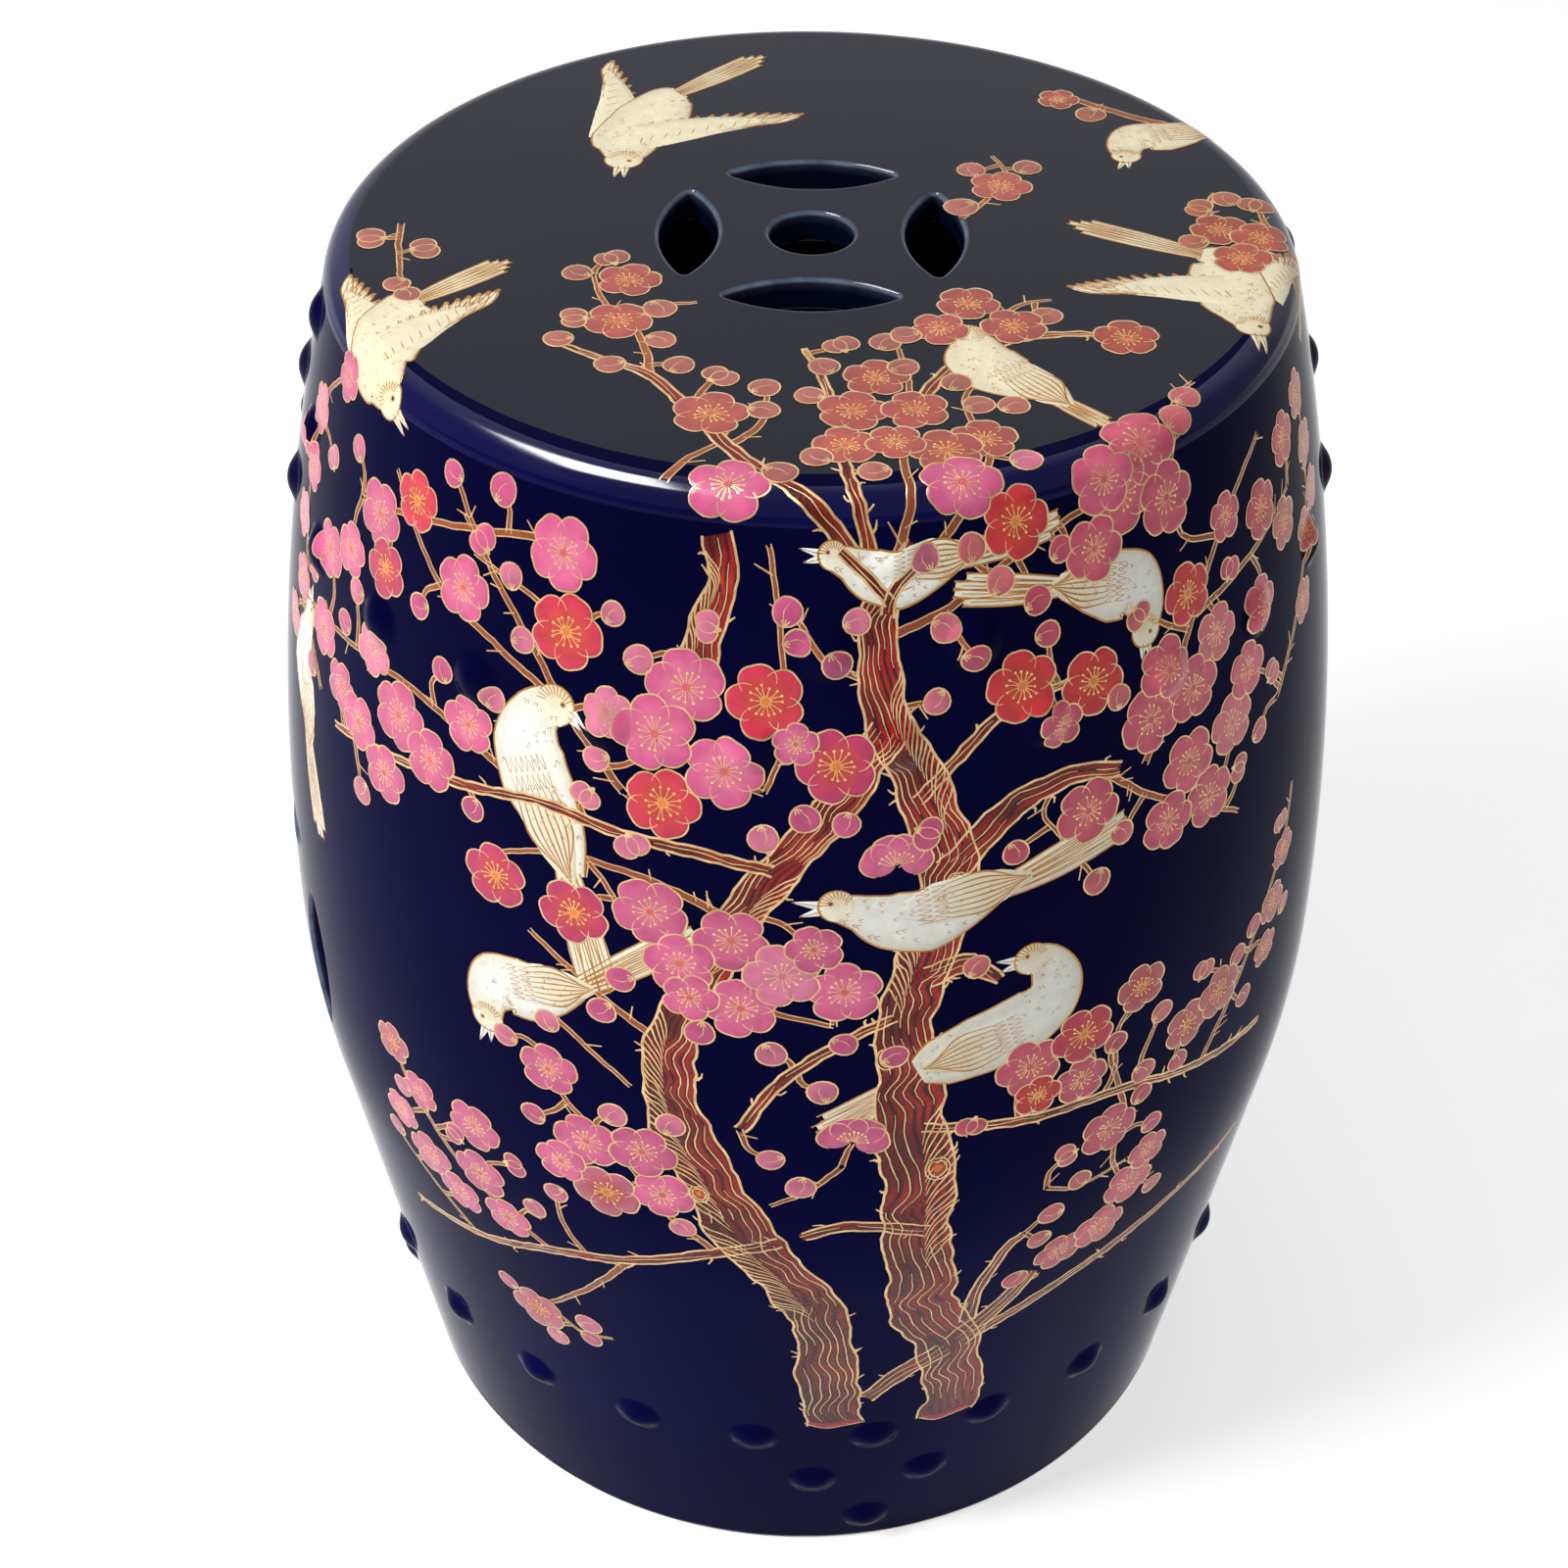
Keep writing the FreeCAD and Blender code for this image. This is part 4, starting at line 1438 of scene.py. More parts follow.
# Blossoms on the side: azimuth, height and size, and the kind of each that isn't plain pink
SIDE_BLOSSOMS = [
    (22, 448, 13, "red"), (35, 447, 14), (41, 440, 13), (31, 434, 12), (-26, 435, 13.5),
    (-25, 412, 14, "red"), (-38, 413, 12), (-52, 419, 12.5), (-46, 431, 11, "red"), (-50, 404, 11, "red"),
    (-63, 448, 9), (-12, 403, 14), (-4, 401, 13.5, "red"), (-15, 387, 14.5), (-8, 378, 14),
    (-14, 365, 13.5, "red"), (3, 381, 14, "red"), (-20, 391, 9, "pale"), (-1, 388, 8),
    (22, 399, 13.5, "red"), (30, 394, 12.5, "red"), (26, 384, 9), (29, 352, 12.5), (37, 374, 13),
    (43, 377, 12.5), (49, 356, 12, "pale"), (42, 353, 12.5), (45, 336, 12), (39, 336, 11.5),
    (52, 370, 11), (39, 389, 11.5), (47, 390, 11, "pale"), (55, 388, 11), (43, 408, 11.5, "red"),
    (57, 417, 11, "red"), (64, 430, 10, "red"), (62, 405, 10, "edge"), (50, 424, 9), (-46, 360, 13.5),
    (-41, 352, 12), (-48, 336, 11.5), (-53, 346, 11), (-36, 371, 11), (-51, 375, 10, "pale"),
    (-62, 392, 11), (-62, 364, 11), (-57, 400, 10), (-57, 352, 10), (-32, 323, 12.5, "red"),
    (-23, 320, 13, "red"), (-15, 327, 13.5), (9, 347, 13.5, "side"), (-12, 310, 12.5), (-7, 321, 13),
    (-2, 309, 13.5, "pale"), (4, 303, 13), (-6, 296, 13), (-11, 298, 10), (1, 319, 10), (-26, 255, 11.5),
    (-22, 229, 12.5), (-16, 231, 12.5), (-20, 208, 13, "edge"), (-14, 213, 11.5), (-25, 216, 10),
    (-36, 213, 11.5), (-44, 181, 11.5), (-36, 190, 11.5), (-40, 171, 10.5), (-33, 173, 10.5),
    (-48, 226, 9, "edge"), (-44, 212, 9), (-48, 194, 9), (-32, 121, 12.5, "edge"), (5, 242, 14, "side"),
    (23, 262, 12.5), (29, 268, 12.5, "red"), (29, 249, 10.5), (24, 249, 9, "red"),
    (36, 277, 10.5, "edge"), (43, 249, 11, "edge"), (48, 253, 11.5, "edge"), (33, 221, 12),
    (37, 188, 11.5), (34, 170, 11.5), (29, 166, 10.5), (39, 200, 9), (58, 269, 9, "edge"),
    (57, 252, 8, "edge"), (60, 287, 8, "edge"), (-70, 428, 9.5, "pale"), (-70, 408, 9.5),
    (-72, 388, 9, "pale"), (-70, 368, 9.5), (-73, 349, 9), (-74, 412, 8.5, "pale"), (70, 436, 9, "edge"),
    (71, 418, 9, "edge"), (68, 393, 8, "edge"), (72, 401, 8.5, "edge"), (66, 371, 8.5, "edge"),
]

# Blossoms on the seat: x to the right and y away from the viewer, from the middle of the seat, and size
SEAT_BLOSSOMS = [
    (-55, -31, 11.5), (-57, -55, 12), (-28, -106, 13), (47, -43, 11), (60, -56, 11.5), (38, -58, 10.5),
    (19, -86, 11.5), (12, -104, 12), (30, -103, 11.5), (10, -122, 11), (49, -118, 11.5), (93, -62, 11.5),
    (60, 31, 11.5), (82, 93, 8), (127, 4, 11), (139, -1, 11), (132, -14, 11), (38, -124, 12.5),
    (-22, -142, 14), (42, -139, 13.5), (93, -116, 14), (24, -120, 10), (84, -130, 12.5),
]

# Buds: azimuth or x, height or y, size, direction in degrees
SIDE_BUDS = [
    (-34, 447, 5.5, 60), (-36, 430, 5, 130), (-41, 445, 4.5, 170), (-32, 423, 4.5, 100),
    (-30, 405, 4.5, 20), (-44, 400, 4.5, 200), (-20, 421, 4.2, 60), (-17, 409, 5, 30),
    (-58, 432, 4.5, 120), (-55, 389, 4.5, 190), (-10, 422, 4.5, 170), (-2, 428, 5, 80),
    (-1, 419, 4.5, 10), (3, 413, 5, 300), (5, 425, 4.5, 20), (14, 421, 5, 330), (17, 411, 5, 340),
    (20, 432, 5, 60), (24, 424, 5, 30), (25, 413, 4.5, 10), (13, 399, 4.5, 240), (17, 443, 5, 90),
    (12, 442, 5, 120), (27, 437, 4.5, 40), (36, 409, 4.5, 300), (33, 386, 4.5, 90), (50, 407, 4.5, 60),
    (0, 364, 5, 310), (-4, 357, 5, 280), (4, 362, 4.5, 260), (-17, 349, 5, 290), (-21, 375, 4.5, 200),
    (-22, 362, 4.5, 230), (-40, 384, 4.5, 120), (-33, 383, 4.5, 60), (-57, 375, 4.5, 150),
    (-35, 343, 4.5, 250), (-52, 322, 5, 240), (12, 357, 5, 330), (21, 345, 4.5, 300), (33, 340, 4.5, 320),
    (30, 326, 5, 250), (17, 307, 4.5, 60), (50, 338, 4.5, 330), (54, 345, 4.5, 20), (57, 361, 4.5, 30),
    (-18, 300, 5, 200), (-20, 286, 5, 230), (-26, 275, 4.5, 120), (-31, 262, 4.5, 170),
    (-10, 285, 5, 260), (-3, 279, 5, 300), (4, 283, 4.5, 330), (9, 277, 4.5, 30), (-19, 244, 5, 60),
    (-13, 245, 5, 70), (-28, 233, 4.5, 160), (-31, 204, 4.5, 10), (-26, 199, 4.5, 230),
    (-29, 186, 4.5, 300), (-39, 203, 4.5, 150), (-47, 208, 4.5, 190), (-50, 181, 4.5, 190),
    (-12, 199, 4.5, 320), (2, 264, 5, 110), (0, 223, 5, 260), (-3, 235, 4.5, 200), (-25, 125, 5.5, 30),
    (-30, 108, 5, 250), (-36, 129, 4.5, 140), (-25, 116, 4.5, 340), (17, 243, 4.5, 250),
    (33, 259, 4.5, 60), (39, 262, 4.5, 30), (37, 240, 5, 320), (42, 235, 4.5, 300), (45, 268, 4.5, 60),
    (51, 262, 4.5, 40), (28, 217, 4.5, 190), (37, 230, 4.5, 60), (39, 213, 4.5, 10), (27, 190, 5, 170),
    (30, 202, 4.5, 130), (26, 178, 4.5, 200), (41, 178, 4.5, 350), (24, 158, 5, 240), (53, 240, 4.5, 320),
    (54, 268, 4.5, 60), (61, 262, 4.2, 60), (59, 300, 4.2, 80), (-65, 345, 4.5, 160),
    (-64, 420, 4.5, 120), (-66, 378, 4.5, 170),
]
SEAT_BUDS = [
    (-71, -27, 5, 160), (-61, -18, 5, 110), (-45, -48, 5.5, 300), (-44, -66, 5, 330), (-70, -54, 5, 180),
    (-74, -66, 4.8, 190), (-58, -80, 5, 200), (-38, -80, 5, 60), (-26, -86, 5.2, 40), (-13, -92, 5, 30),
    (-13, -104, 5, 350), (4, -80, 5, 130), (9, -68, 5, 110), (22, -66, 5.2, 70), (27, -80, 5, 30),
    (42, -88, 5, 70), (48, -100, 5, 30), (0, -96, 4.8, 170), (58, -100, 5, 40), (70, -50, 5.2, 40),
    (28, -62, 5, 200), (51, 42, 5, 110), (69, 44, 5, 60), (47, 17, 6, 220), (92, 82, 5.5, 250),
    (-136, -7, 5.5, 180), (-119, -13, 5.5, 10), (-125, -35, 4.5, 240), (-121, -41, 4.5, 300),
    (122, 18, 5, 150), (131, 24, 5, 110), (118, -4, 5, 190), (140, 20, 5.5, 70), (18, -135, 5, 200),
    (2, -128, 5, 150), (60, -128, 5, 20), (104, -104, 5.5, 60), (107, -94, 5, 50), (-8, -136, 5.5, 330),
]

SIDE_BLOSSOM_SCALE = 0.88
SEAT_BLOSSOM_SCALE = 0.87
BUD_SCALE = 0.86

# Trunks: points up the side, half widths, colours low and high, knots as place along, side and size,
# and stretches of scales as start, end and side
TRUNKS = [
    ([(4.5, 84), (3.5, 110), (2.5, 148), (-0.5, 172), (-5, 194), (-9, 222), (-12.2, 246), (-13.2, 268),
      (-12, 290), (-9.2, 309), (-6.5, 328), (-1, 352), (4, 372), (8, 392)],
     (10.8, 10.0, 9.6, 9.2, 9.8, 9.6, 8.8, 7.8, 6.8, 6.2, 5.8, 6.2, 6.0, 5.5),
     BARK_BROWN * 0.75, BARK_RED, ((0.43, 0.55, 2.6),),
     ((0.36, 0.62, 1), (0.20, 0.34, 1), (0.72, 0.84, -1))),
    ([(18.5, 80), (19, 100), (17, 128), (14, 152), (12.5, 178), (12, 205), (11.5, 232), (10.5, 262),
      (10, 285), (11, 306), (13, 323), (14, 347), (11.5, 372), (8.5, 392), (7, 415), (8, 434), (11, 447)],
     (11.0, 10.8, 11.0, 11.4, 10.6, 10.6, 11.4, 9.8, 8.2, 8.4, 9.6, 9.0, 7.8, 7.0, 6.0, 5.0, 3.6),
     BARK_RED * 0.85, BARK_RED * 1.15, ((0.40, -0.55, 3.6), (0.53, 0.6, 3.0), (0.70, -0.3, 2.6)),
     ((0.28, 0.42, -1), (0.55, 0.66, 1), (0.74, 0.86, -1))),
    ([(14, 343), (18, 354), (21.5, 362), (27, 366), (33, 362)],
     (5.4, 5.0, 4.0, 3.2, 2.2), BARK_RED, BARK_RED, (), ()),
    ([(-11, 410), (-10, 424), (-8.5, 437), (-9.5, 450)],
     (5.6, 5.2, 4.8, 4.4), BARK_RED, BARK_RED, (), ((0.1, 0.9, 1),)),
    ([(12, 306), (16, 309), (19.5, 300)], (4.0, 3.4, 1.6), BARK_RED, BARK_RED, (), ()),
    ([(8, 100), (12, 114), (17, 126)], (3.2, 3.8, 4.4), BARK_BROWN, BARK_BROWN, (), ()),
    ([(18, 128), (22, 142), (25, 154), (26, 160)],
     (5.2, 4.0, 3.0, 2.4), BARK_RED * 0.85, BARK_RED, (), ()),
]

# Branches: points up the side, the width at each end, and True where they cross in front of birds
BRANCHES = [
    ([(-62, 341), (-67, 360), (-70, 384), (-71, 408), (-69, 434)], 1.3, 0.7),
    ([(58, 350), (64, 370), (69, 394), (71, 418), (70, 442)], 1.3, 0.7),
    ([(-2, 196), (-8, 189), (-19, 174), (-28, 165), (-37, 152), (-51, 140)], 2.3, 0.9),
    ([(-18, 175), (-24, 149), (-32, 122)], 1.7, 0.9),
    ([(20, 130), (26, 139), (34, 149), (46, 158), (60, 160)], 2.4, 1.1),
    ([(13, 198), (8, 203), (4, 204), (0, 199)], 2.4, 1.9),
    ([(19, 140), (19.5, 158), (22, 178), (24, 184)], 2.6, 1.3),
    ([(-11, 276), (-16, 283), (-22, 296), (-28, 308)], 1.7, 0.9),
    ([(-6, 247), (-2, 268), (4, 284), (9, 292)], 2.0, 1.4),
    ([(-3, 346), (-10, 350), (-18, 352), (-27, 355), (-36, 350), (-47, 344), (-58, 336)], 1.9, 1.0, True),
    ([(-27, 355), (-34, 364), (-44, 372), (-56, 370), (-66, 366)], 1.5, 0.8),
    ([(-8, 330), (-15, 338), (-24, 340), (-32, 332)], 1.6, 0.8),
    ([(12, 246), (22, 240), (34, 237), (46, 226), (58, 218)], 1.8, 1.0),
    ([(11, 368), (15, 380), (20, 392), (28, 397)], 2.0, 1.0),
    ([(-18, 366), (-24, 386), (-29, 405), (-35, 424), (-41, 446)], 1.5, 0.9),
    ([(-28, 438), (-36, 433), (-46, 426), (-56, 419)], 1.4, 0.9),
    ([(-24, 388), (-33, 400), (-42, 412), (-50, 436)], 1.4, 0.8),
    ([(36, 360), (40, 380), (44, 402), (50, 424), (58, 440)], 1.6, 0.9),
    ([(44, 400), (54, 406), (64, 414)], 1.3, 0.8),
    ([(8, 420), (14, 426), (20, 436), (27, 444)], 1.7, 1.0),
    ([(8, 404), (2, 414), (-1, 426)], 1.4, 0.8),
    ([(8, 426), (9, 434), (12.5, 444)], 2.0, 1.3, True),
    ([(8.4, 430), (6, 438), (3, 446)], 1.8, 1.2, True),
    ([(-4, 372), (-2, 388), (-2, 402), (-3, 430), (-4, 447)], 0.9, 0.9),
    ([(34, 237), (35, 224), (34, 206), (36, 186), (32, 168)], 1.3, 0.8),
    ([(46, 227), (50, 244), (54, 262), (60, 290), (62, 310)], 1.3, 0.8),
    ([(30, 366), (36, 350), (44, 334), (50, 322)], 1.5, 0.8),
    ([(-28, 165), (-34, 178), (-40, 192), (-46, 214), (-49, 230)], 1.3, 0.8),
    ([(-9, 190), (-14, 206), (-18, 226), (-24, 244), (-27, 262)], 1.4, 0.8),
    ([(4, 232), (1, 222), (-3, 214)], 1.2, 0.7),
    ([(-10, 300), (-4, 296), (3, 290)], 1.4, 0.8),
    ([(-40, 152), (-45, 165), (-50, 178)], 1.1, 0.6),
    ([(-30, 125), (-26, 118), (-22, 121)], 1.0, 0.6),
    ([(-23, 412), (-30, 420), (-37, 425)], 1.0, 0.6),
    ([(-30, 372), (-26, 352), (-21, 338), (-17, 322)], 1.2, 0.8),
    ([(-30, 292), (-26, 280), (-21, 268), (-17, 258)], 1.1, 0.8),
    ([(26, 204), (30, 199), (36, 201)], 0.9, 0.5),
    ([(26, 366), (24, 356), (26, 346)], 0.9, 0.6),
]

# Branches that run over the shoulder onto the seat, in seat measures
SEAT_BRANCHES = [
    ([(16, -166), (2, -150), (-10, -138), (-22, -124), (-34, -104), (-46, -86), (-62, -76), (-74, -68)],
     2.6, 0.8),
    ([(-34, -104), (-30, -92), (-24, -84)], 1.5, 0.7),
    ([(-46, -86), (-48, -72), (-52, -60), (-62, -44), (-66, -28)], 1.6, 0.7),
    ([(-24, -124), (-14, -112), (-12, -96)], 1.6, 0.8),
    ([(-54, -56), (-44, -46), (-34, -44)], 1.3, 0.6),
    ([(20, -168), (14, -150), (10, -132), (8, -112), (4, -88), (-2, -70)], 1.9, 0.7),
    ([(22, -170), (28, -150), (26, -126), (28, -104), (28, -84), (24, -62)], 1.7, 0.7),
    ([(34, -166), (44, -146), (50, -126), (44, -98), (52, -84)], 1.7, 0.7),
    ([(30, -100), (42, -78), (60, -64), (78, -60), (92, -62)], 1.8, 0.8),
    ([(50, -58), (62, -44), (72, -40)], 1.2, 0.6),
    ([(-40, -140), (-34, -130), (-26, -122)], 1.6, 0.9),
    ([(47, 10), (56, 24), (62, 40), (58, 52)], 1.2, 0.6),
    ([(84, 96), (104, 82), (124, 72), (150, 62)], 1.6, 2.0),
    ([(-128, 3), (-127, -12), (-125, -26), (-124, -34)], 1.2, 0.8),
    ([(-127, -16), (-121, -13)], 0.9, 0.6),
    ([(158, -40), (146, -18), (132, -2), (124, 14), (128, 28)], 1.8, 0.8),
    ([(150, -10), (142, 8), (140, 22)], 1.3, 0.7),
    ([(112, -130), (104, -112), (104, -96), (110, -86)], 1.5, 0.7),
]

# Birds on the side: azimuth, height, turn, size, flip, pose
SIDE_BIRDS = [
    (12, 331, 7, 1.02, False, "level"),
    (-27, 366, 0, 1.0, False, "upright"),
    (20.5, 284, 0, 1.0, False, "curled"),
    (-29, 284, 0, 0.95, False, "bowed"),
    (9.5, 440, 2, 0.82, False, "level"),
    (33.5, 421, -6, 0.90, True, "bowed_flat"),
    (-67, 338, -80, 0.9, False, "level"),
]

# Birds on the seat: x, y, turn, size, flip, pose
SEAT_BIRDS = [
    (56, -80, -49, 0.86, False, "plump"),
    (113, 67, -4, 0.80, False, "bowed"),
]

FLYING_BIRDS = [
    dict(head=(-61, 47), chest=(-60, 61), rump=(-48, 92), tail_tip=(-17, 124),
         near=((-56, 58), (-6, 78)), far=((-69, 62), (-70, 117)), plump=1.0),
    dict(head=(-124, -92), chest=(-127, -78), rump=(-120, -46), tail_tip=(-92, -20),
         near=((-122, -78), (-96, -43)), far=((-134, -72), (-140, -36)), plump=0.95),
    dict(head=(131, -54), chest=(128, -40), rump=(124, -14), tail_tip=(80, 8),
         near=((126, -38), (83, -34)), far=((138, -38), (152, -12)), plump=0.9),
]


# On the back, the painting repeats the other way round and ends below these heights
BACK_BLOSSOM_TOP = 440
BACK_BUD_TOP = 444
BACK_BIRD_TOP = 425
# Azimuth, height and half width of each trunk's foot
TRUNK_FEET = ((4.5, 84, 11.0), (18.5, 80, 10.0))
# A flower gets a stalk where the wood is further away than this share of its size
BLOSSOM_STALK_FROM = 0.7
BUD_STALK_FROM = 0.6
LONGEST_STALK = 45.0
STALK_WIDTHS = (0.95, 0.55)
STALK_BOW = 0.22
# Stalks longer than this have spurs
PLAIN_STALK = 14
DOUBLE_BUDS = 0.22


def connect(brush, spots, x, y, stop):
    """Stalk from the nearest wood to a blossom or bud."""
    away = np.linalg.norm(spots - (x, y), axis=1)
    gap = float(away.min())
    if stop <= gap <= LONGEST_STALK:
        start, end = spots[away.argmin()], np.array([x, y], float)
        side = left_of(end - start) * rng.uniform(-STALK_BOW, STALK_BOW)
        middle = start + (end - start) * 0.5 + side
        twig(brush, [start, middle, end], *STALK_WIDTHS, spurs=gap > PLAIN_STALK)


def paint_branches(wood, branches):
    """Draws branches and gives points along them."""
    spots = []
    for path, start, end, *near in branches:
        branch(wood, path, start, end, bool(near))
        spots.append(smooth_path(path, 3.0)[0])
    return spots


def paint_flowers(wood, petals, spots, blossoms, buds):
    stack = Stack()
    spots = np.concatenate(spots)
    for x, y, size, kind in blossoms:
        connect(wood, spots, x, y, size * BLOSSOM_STALK_FROM)
        blossom(petals, x, y, size, kind, stack.layer(x, y, size))
    for x, y, size, degrees in buds:
        size = size * BUD_SCALE
        connect(wood, spots, x, y, size * BUD_STALK_FROM)
        bud(petals, x, y, size, math.radians(degrees), stack.layer(x, y, size), rng.random() < DOUBLE_BUDS)


def paint_side(wood, petals, birds, back=False):
    """The painting on one half of the side."""
    way = -1 if back else 1

    def place(azimuth, z):
        return math.radians(180.0 - azimuth if back else azimuth) * CHART_RADIUS, float(along(z))

    spots = []
    for k, (points, widths, low, high, knots, scales) in enumerate(TRUNKS):
        scales = [(start, end, side * way) for start, end, side in scales]
        knots = [(at, side * way, size) for at, side, size in knots]
        path = [place(*point) for point in points]
        seed = 11 + 13 * k + (400 if back else 0)
        spots.append(trunk(wood, path, widths, seed, low, high, knots, scales))
    for azimuth, z, half_width in TRUNK_FEET:
        ragged_foot(wood, *place(azimuth, z), half_width)
    spots += paint_branches(wood, [([place(*point) for point in path], *rest) for path, *rest in BRANCHES])
    blossoms, buds = [], []
    for azimuth, z, size, *kind in SIDE_BLOSSOMS:
        if not back or z <= BACK_BLOSSOM_TOP:
            blossoms.append((*place(azimuth, z), size * SIDE_BLOSSOM_SCALE, kind[0] if kind else "pink"))
    for azimuth, z, size, degrees in SIDE_BUDS:
        if not back or z <= BACK_BUD_TOP:
            buds.append((*place(azimuth, z), size, 180 - degrees if back else degrees))
    paint_flowers(wood, petals, spots, blossoms, buds)
    for azimuth, z, turn, size, flip, pose in SIDE_BIRDS:
        if not back or z <= BACK_BIRD_TOP:
            perched_bird(birds, *place(azimuth, z), turn * way, size, flip != back, pose)


def paint_back(wood, petals, birds):
    paint_side(wood, petals, birds, True)


def paint_seat(wood, petals, birds):
    spots = paint_branches(wood, SEAT_BRANCHES)
    blossoms = [(x, y, size * SEAT_BLOSSOM_SCALE, "pink") for x, y, size in SEAT_BLOSSOMS]
    paint_flowers(wood, petals, spots, blossoms, SEAT_BUDS)
    for places in SEAT_BIRDS:
        perched_bird(birds, *places)
    for places in FLYING_BIRDS:
        flying_bird(birds, **places)


# Materials

class Nodes:
    """Short helper for building the node tree of a material or of the world."""

    def __init__(self, owner, last="Principled BSDF"):
        owner.use_nodes = True
        self.owner = owner
        self.tree = owner.node_tree
        self.last = self.tree.nodes[last]

    def feed(self, socket, value):
        """Links a socket to another node's output, or sets its value."""
        if isinstance(value, bpy.types.NodeSocket):
            self.tree.links.new(value, socket)
        else:
            socket.default_value = (*value, 1.0) if socket.type == "RGBA" else value

    def node(self, kind, inputs, output=0, **settings):
        """New node with its inputs fed by name or number. Gives one of its outputs."""
        node = self.tree.nodes.new("ShaderNode" + kind)
        for key, value in settings.items():
            setattr(node, key, value)
        for key, value in inputs.items():
            self.feed(node.inputs[key], value)
        return node.outputs[output]

    def place(self, output="Object"):
        return self.node("TexCoord", {}, output)

    def noise(self, scale, detail=3.0, roughness=0.5):
        inputs = {"Vector": self.place(), "Scale": scale, "Detail": detail, "Roughness": roughness}
        return self.node("TexNoise", inputs, "Fac")

    def ramp(self, source, low, high):
        """Colour or grey that runs from one stop to another; each stop is its place and its tint."""
        ramp = self.node("ValToRGB", {"Fac": source}, "Color")
        for element, (at, tint) in zip(ramp.node.color_ramp.elements, (low, high)):
            element.position = at
            element.color = (*np.broadcast_to(tint, 3), 1.0)
        return ramp

    def mix(self, factor, a, b, mode="MIX"):
        inputs = {"Factor": factor, "A": a, "B": b}
        return self.node("Mix", inputs, "Result", data_type="RGBA", blend_type=mode)

    def math(self, operation, *inputs, clamp=False):
        return self.node("Math", dict(enumerate(inputs)), operation=operation, use_clamp=clamp)

    def vector(self, operation, a, b, output="Vector"):
        return self.node("VectorMath", {0: a, 1: b}, output, operation=operation)

    def rescale(self, value, span, result, kind="LINEAR"):
        inputs = dict(zip(("Value", "From Min", "From Max", "To Min", "To Max"), (value, *span, *result)))
        return self.node("MapRange", inputs, "Result", interpolation_type=kind)

    def bump(self, source, strength, distance):
        inputs = {"Height": source, "Strength": strength, "Distance": distance}
        self.set(Normal=self.node("Bump", inputs, "Normal"))

    def set(self, **values):
        for key, value in values.items():
            self.feed(self.last.inputs[key.replace("_", " ")], value)


# Colours of the glaze: deep and shallow pools on the side, and on the flat seat where a grey reflection is
# painted into them, and thin glaze with a painted highlight on hole edges
COBALT = ((0.0014, 0.0015, 0.034), (0.0022, 0.0024, 0.058))
SLATE_REFLECTION = ((0.0014, 0.0034, 0.021), (0.0022, 0.0050, 0.030))
COBALT_THIN_AND_HIGHLIGHT = (0.20, 0.25, 0.36)
CLAY = (0.56, 0.50, 0.42)


def glaze_material(name, pools, specular, marked=False, wiped_below=0.0, softness=1.0, painted_reflection=None):
    """Cobalt glaze: pooled and thin places, a faint ripple, and a pale mark on hole edges that is thin
    glaze with a painted highlight.
    It can take a painted grey reflection inside the seat's circle, and is wiped off below a height."""
    n = Nodes(bpy.data.materials.new(name))
    pooled = n.ramp(n.noise(9.0, 4.0), (0.3, 0.0), (0.7, 1.0))
    colour = n.mix(pooled, *pools)
    height = n.node("SeparateXYZ", {0: n.place()}, "Z")
    if painted_reflection is None:
        # The glaze ran down while it melted, and is bluest low on the drum
        run = n.rescale(height, (0.10, 0.42), (0.0, 1.0))
        colour = n.mix(run, colour, n.mix(1.0, colour, (0.85, 0.75, 0.55), "MULTIPLY"))
    else:
        # Painted reflection: grey inside the seat's circle, faded at its edge
        flat = n.vector("MULTIPLY", n.place(), (1.0, 1.0, 0.0))
        away = n.vector("DISTANCE", flat, (*REFLECTION_MIDDLE * MM, 0.0), "Value")
        span = ((REFLECTION_RADIUS - REFLECTION_BLUR) * MM, (REFLECTION_RADIUS + REFLECTION_BLUR) * MM)
        colour = n.mix(n.rescale(away, span, (1.0, 0.0)), colour, n.mix(pooled, *painted_reflection))
    if marked:
        # Hole edges are paled where the glaze is thin, with a painted highlight on the rolled edge
        patchy = n.ramp(n.noise(160.0), (0.25, 0.25), (0.65, 0.65))
        edge = n.node("Attribute", {}, "Fac", attribute_name="edge")
        colour = n.mix(n.math("MULTIPLY", edge, patchy), colour, COBALT_THIN_AND_HIGHLIGHT)
    roughness = n.ramp(n.noise(35.0, 4.0), (0.3, 0.03 * softness), (0.8, 0.06 * softness))
    if wiped_below:
        bare = n.math("LESS_THAN", n.math("MULTIPLY_ADD", n.noise(60.0, 2.0), -0.0012, height), wiped_below)
        grain = n.mix(n.noise(400.0, 5.0), CLAY, tuple(c * 0.75 for c in CLAY))
        colour = n.mix(bare, colour, grain)
        roughness = n.mix(bare, roughness, (0.75, 0.75, 0.75))
    n.set(Base_Color=colour, Roughness=roughness, Specular_IOR_Level=specular)
    n.bump(n.noise(26.0, 3.0, 0.4), 0.10, 0.0006)
    return n.owner


def painted(n, colour):
    """Multiplies the drawing's own tints into a colour."""
    tint = n.node("Attribute", {}, "Color", attribute_name="tint")
    n.set(Base_Color=n.mix(1.0, tint, colour, "MULTIPLY"))


def enamel_material(name, roughness, grain, strength, thin=0.80):
    """Overglaze enamel: the drawing's own tints, uneven in thickness, with a soft gloss."""
    n = Nodes(bpy.data.materials.new(name))
    painted(n, n.ramp(n.noise(grain, 4.0), (0.25, thin), (0.75, 1.12)))
    gloss = n.ramp(n.noise(grain * 3), (0.3, roughness * 0.75), (0.8, roughness * 1.3))
    n.set(Roughness=gloss, Specular_IOR_Level=0.22)
    n.bump(n.noise(grain * 2.5), strength, 0.00025)
    return n.owner


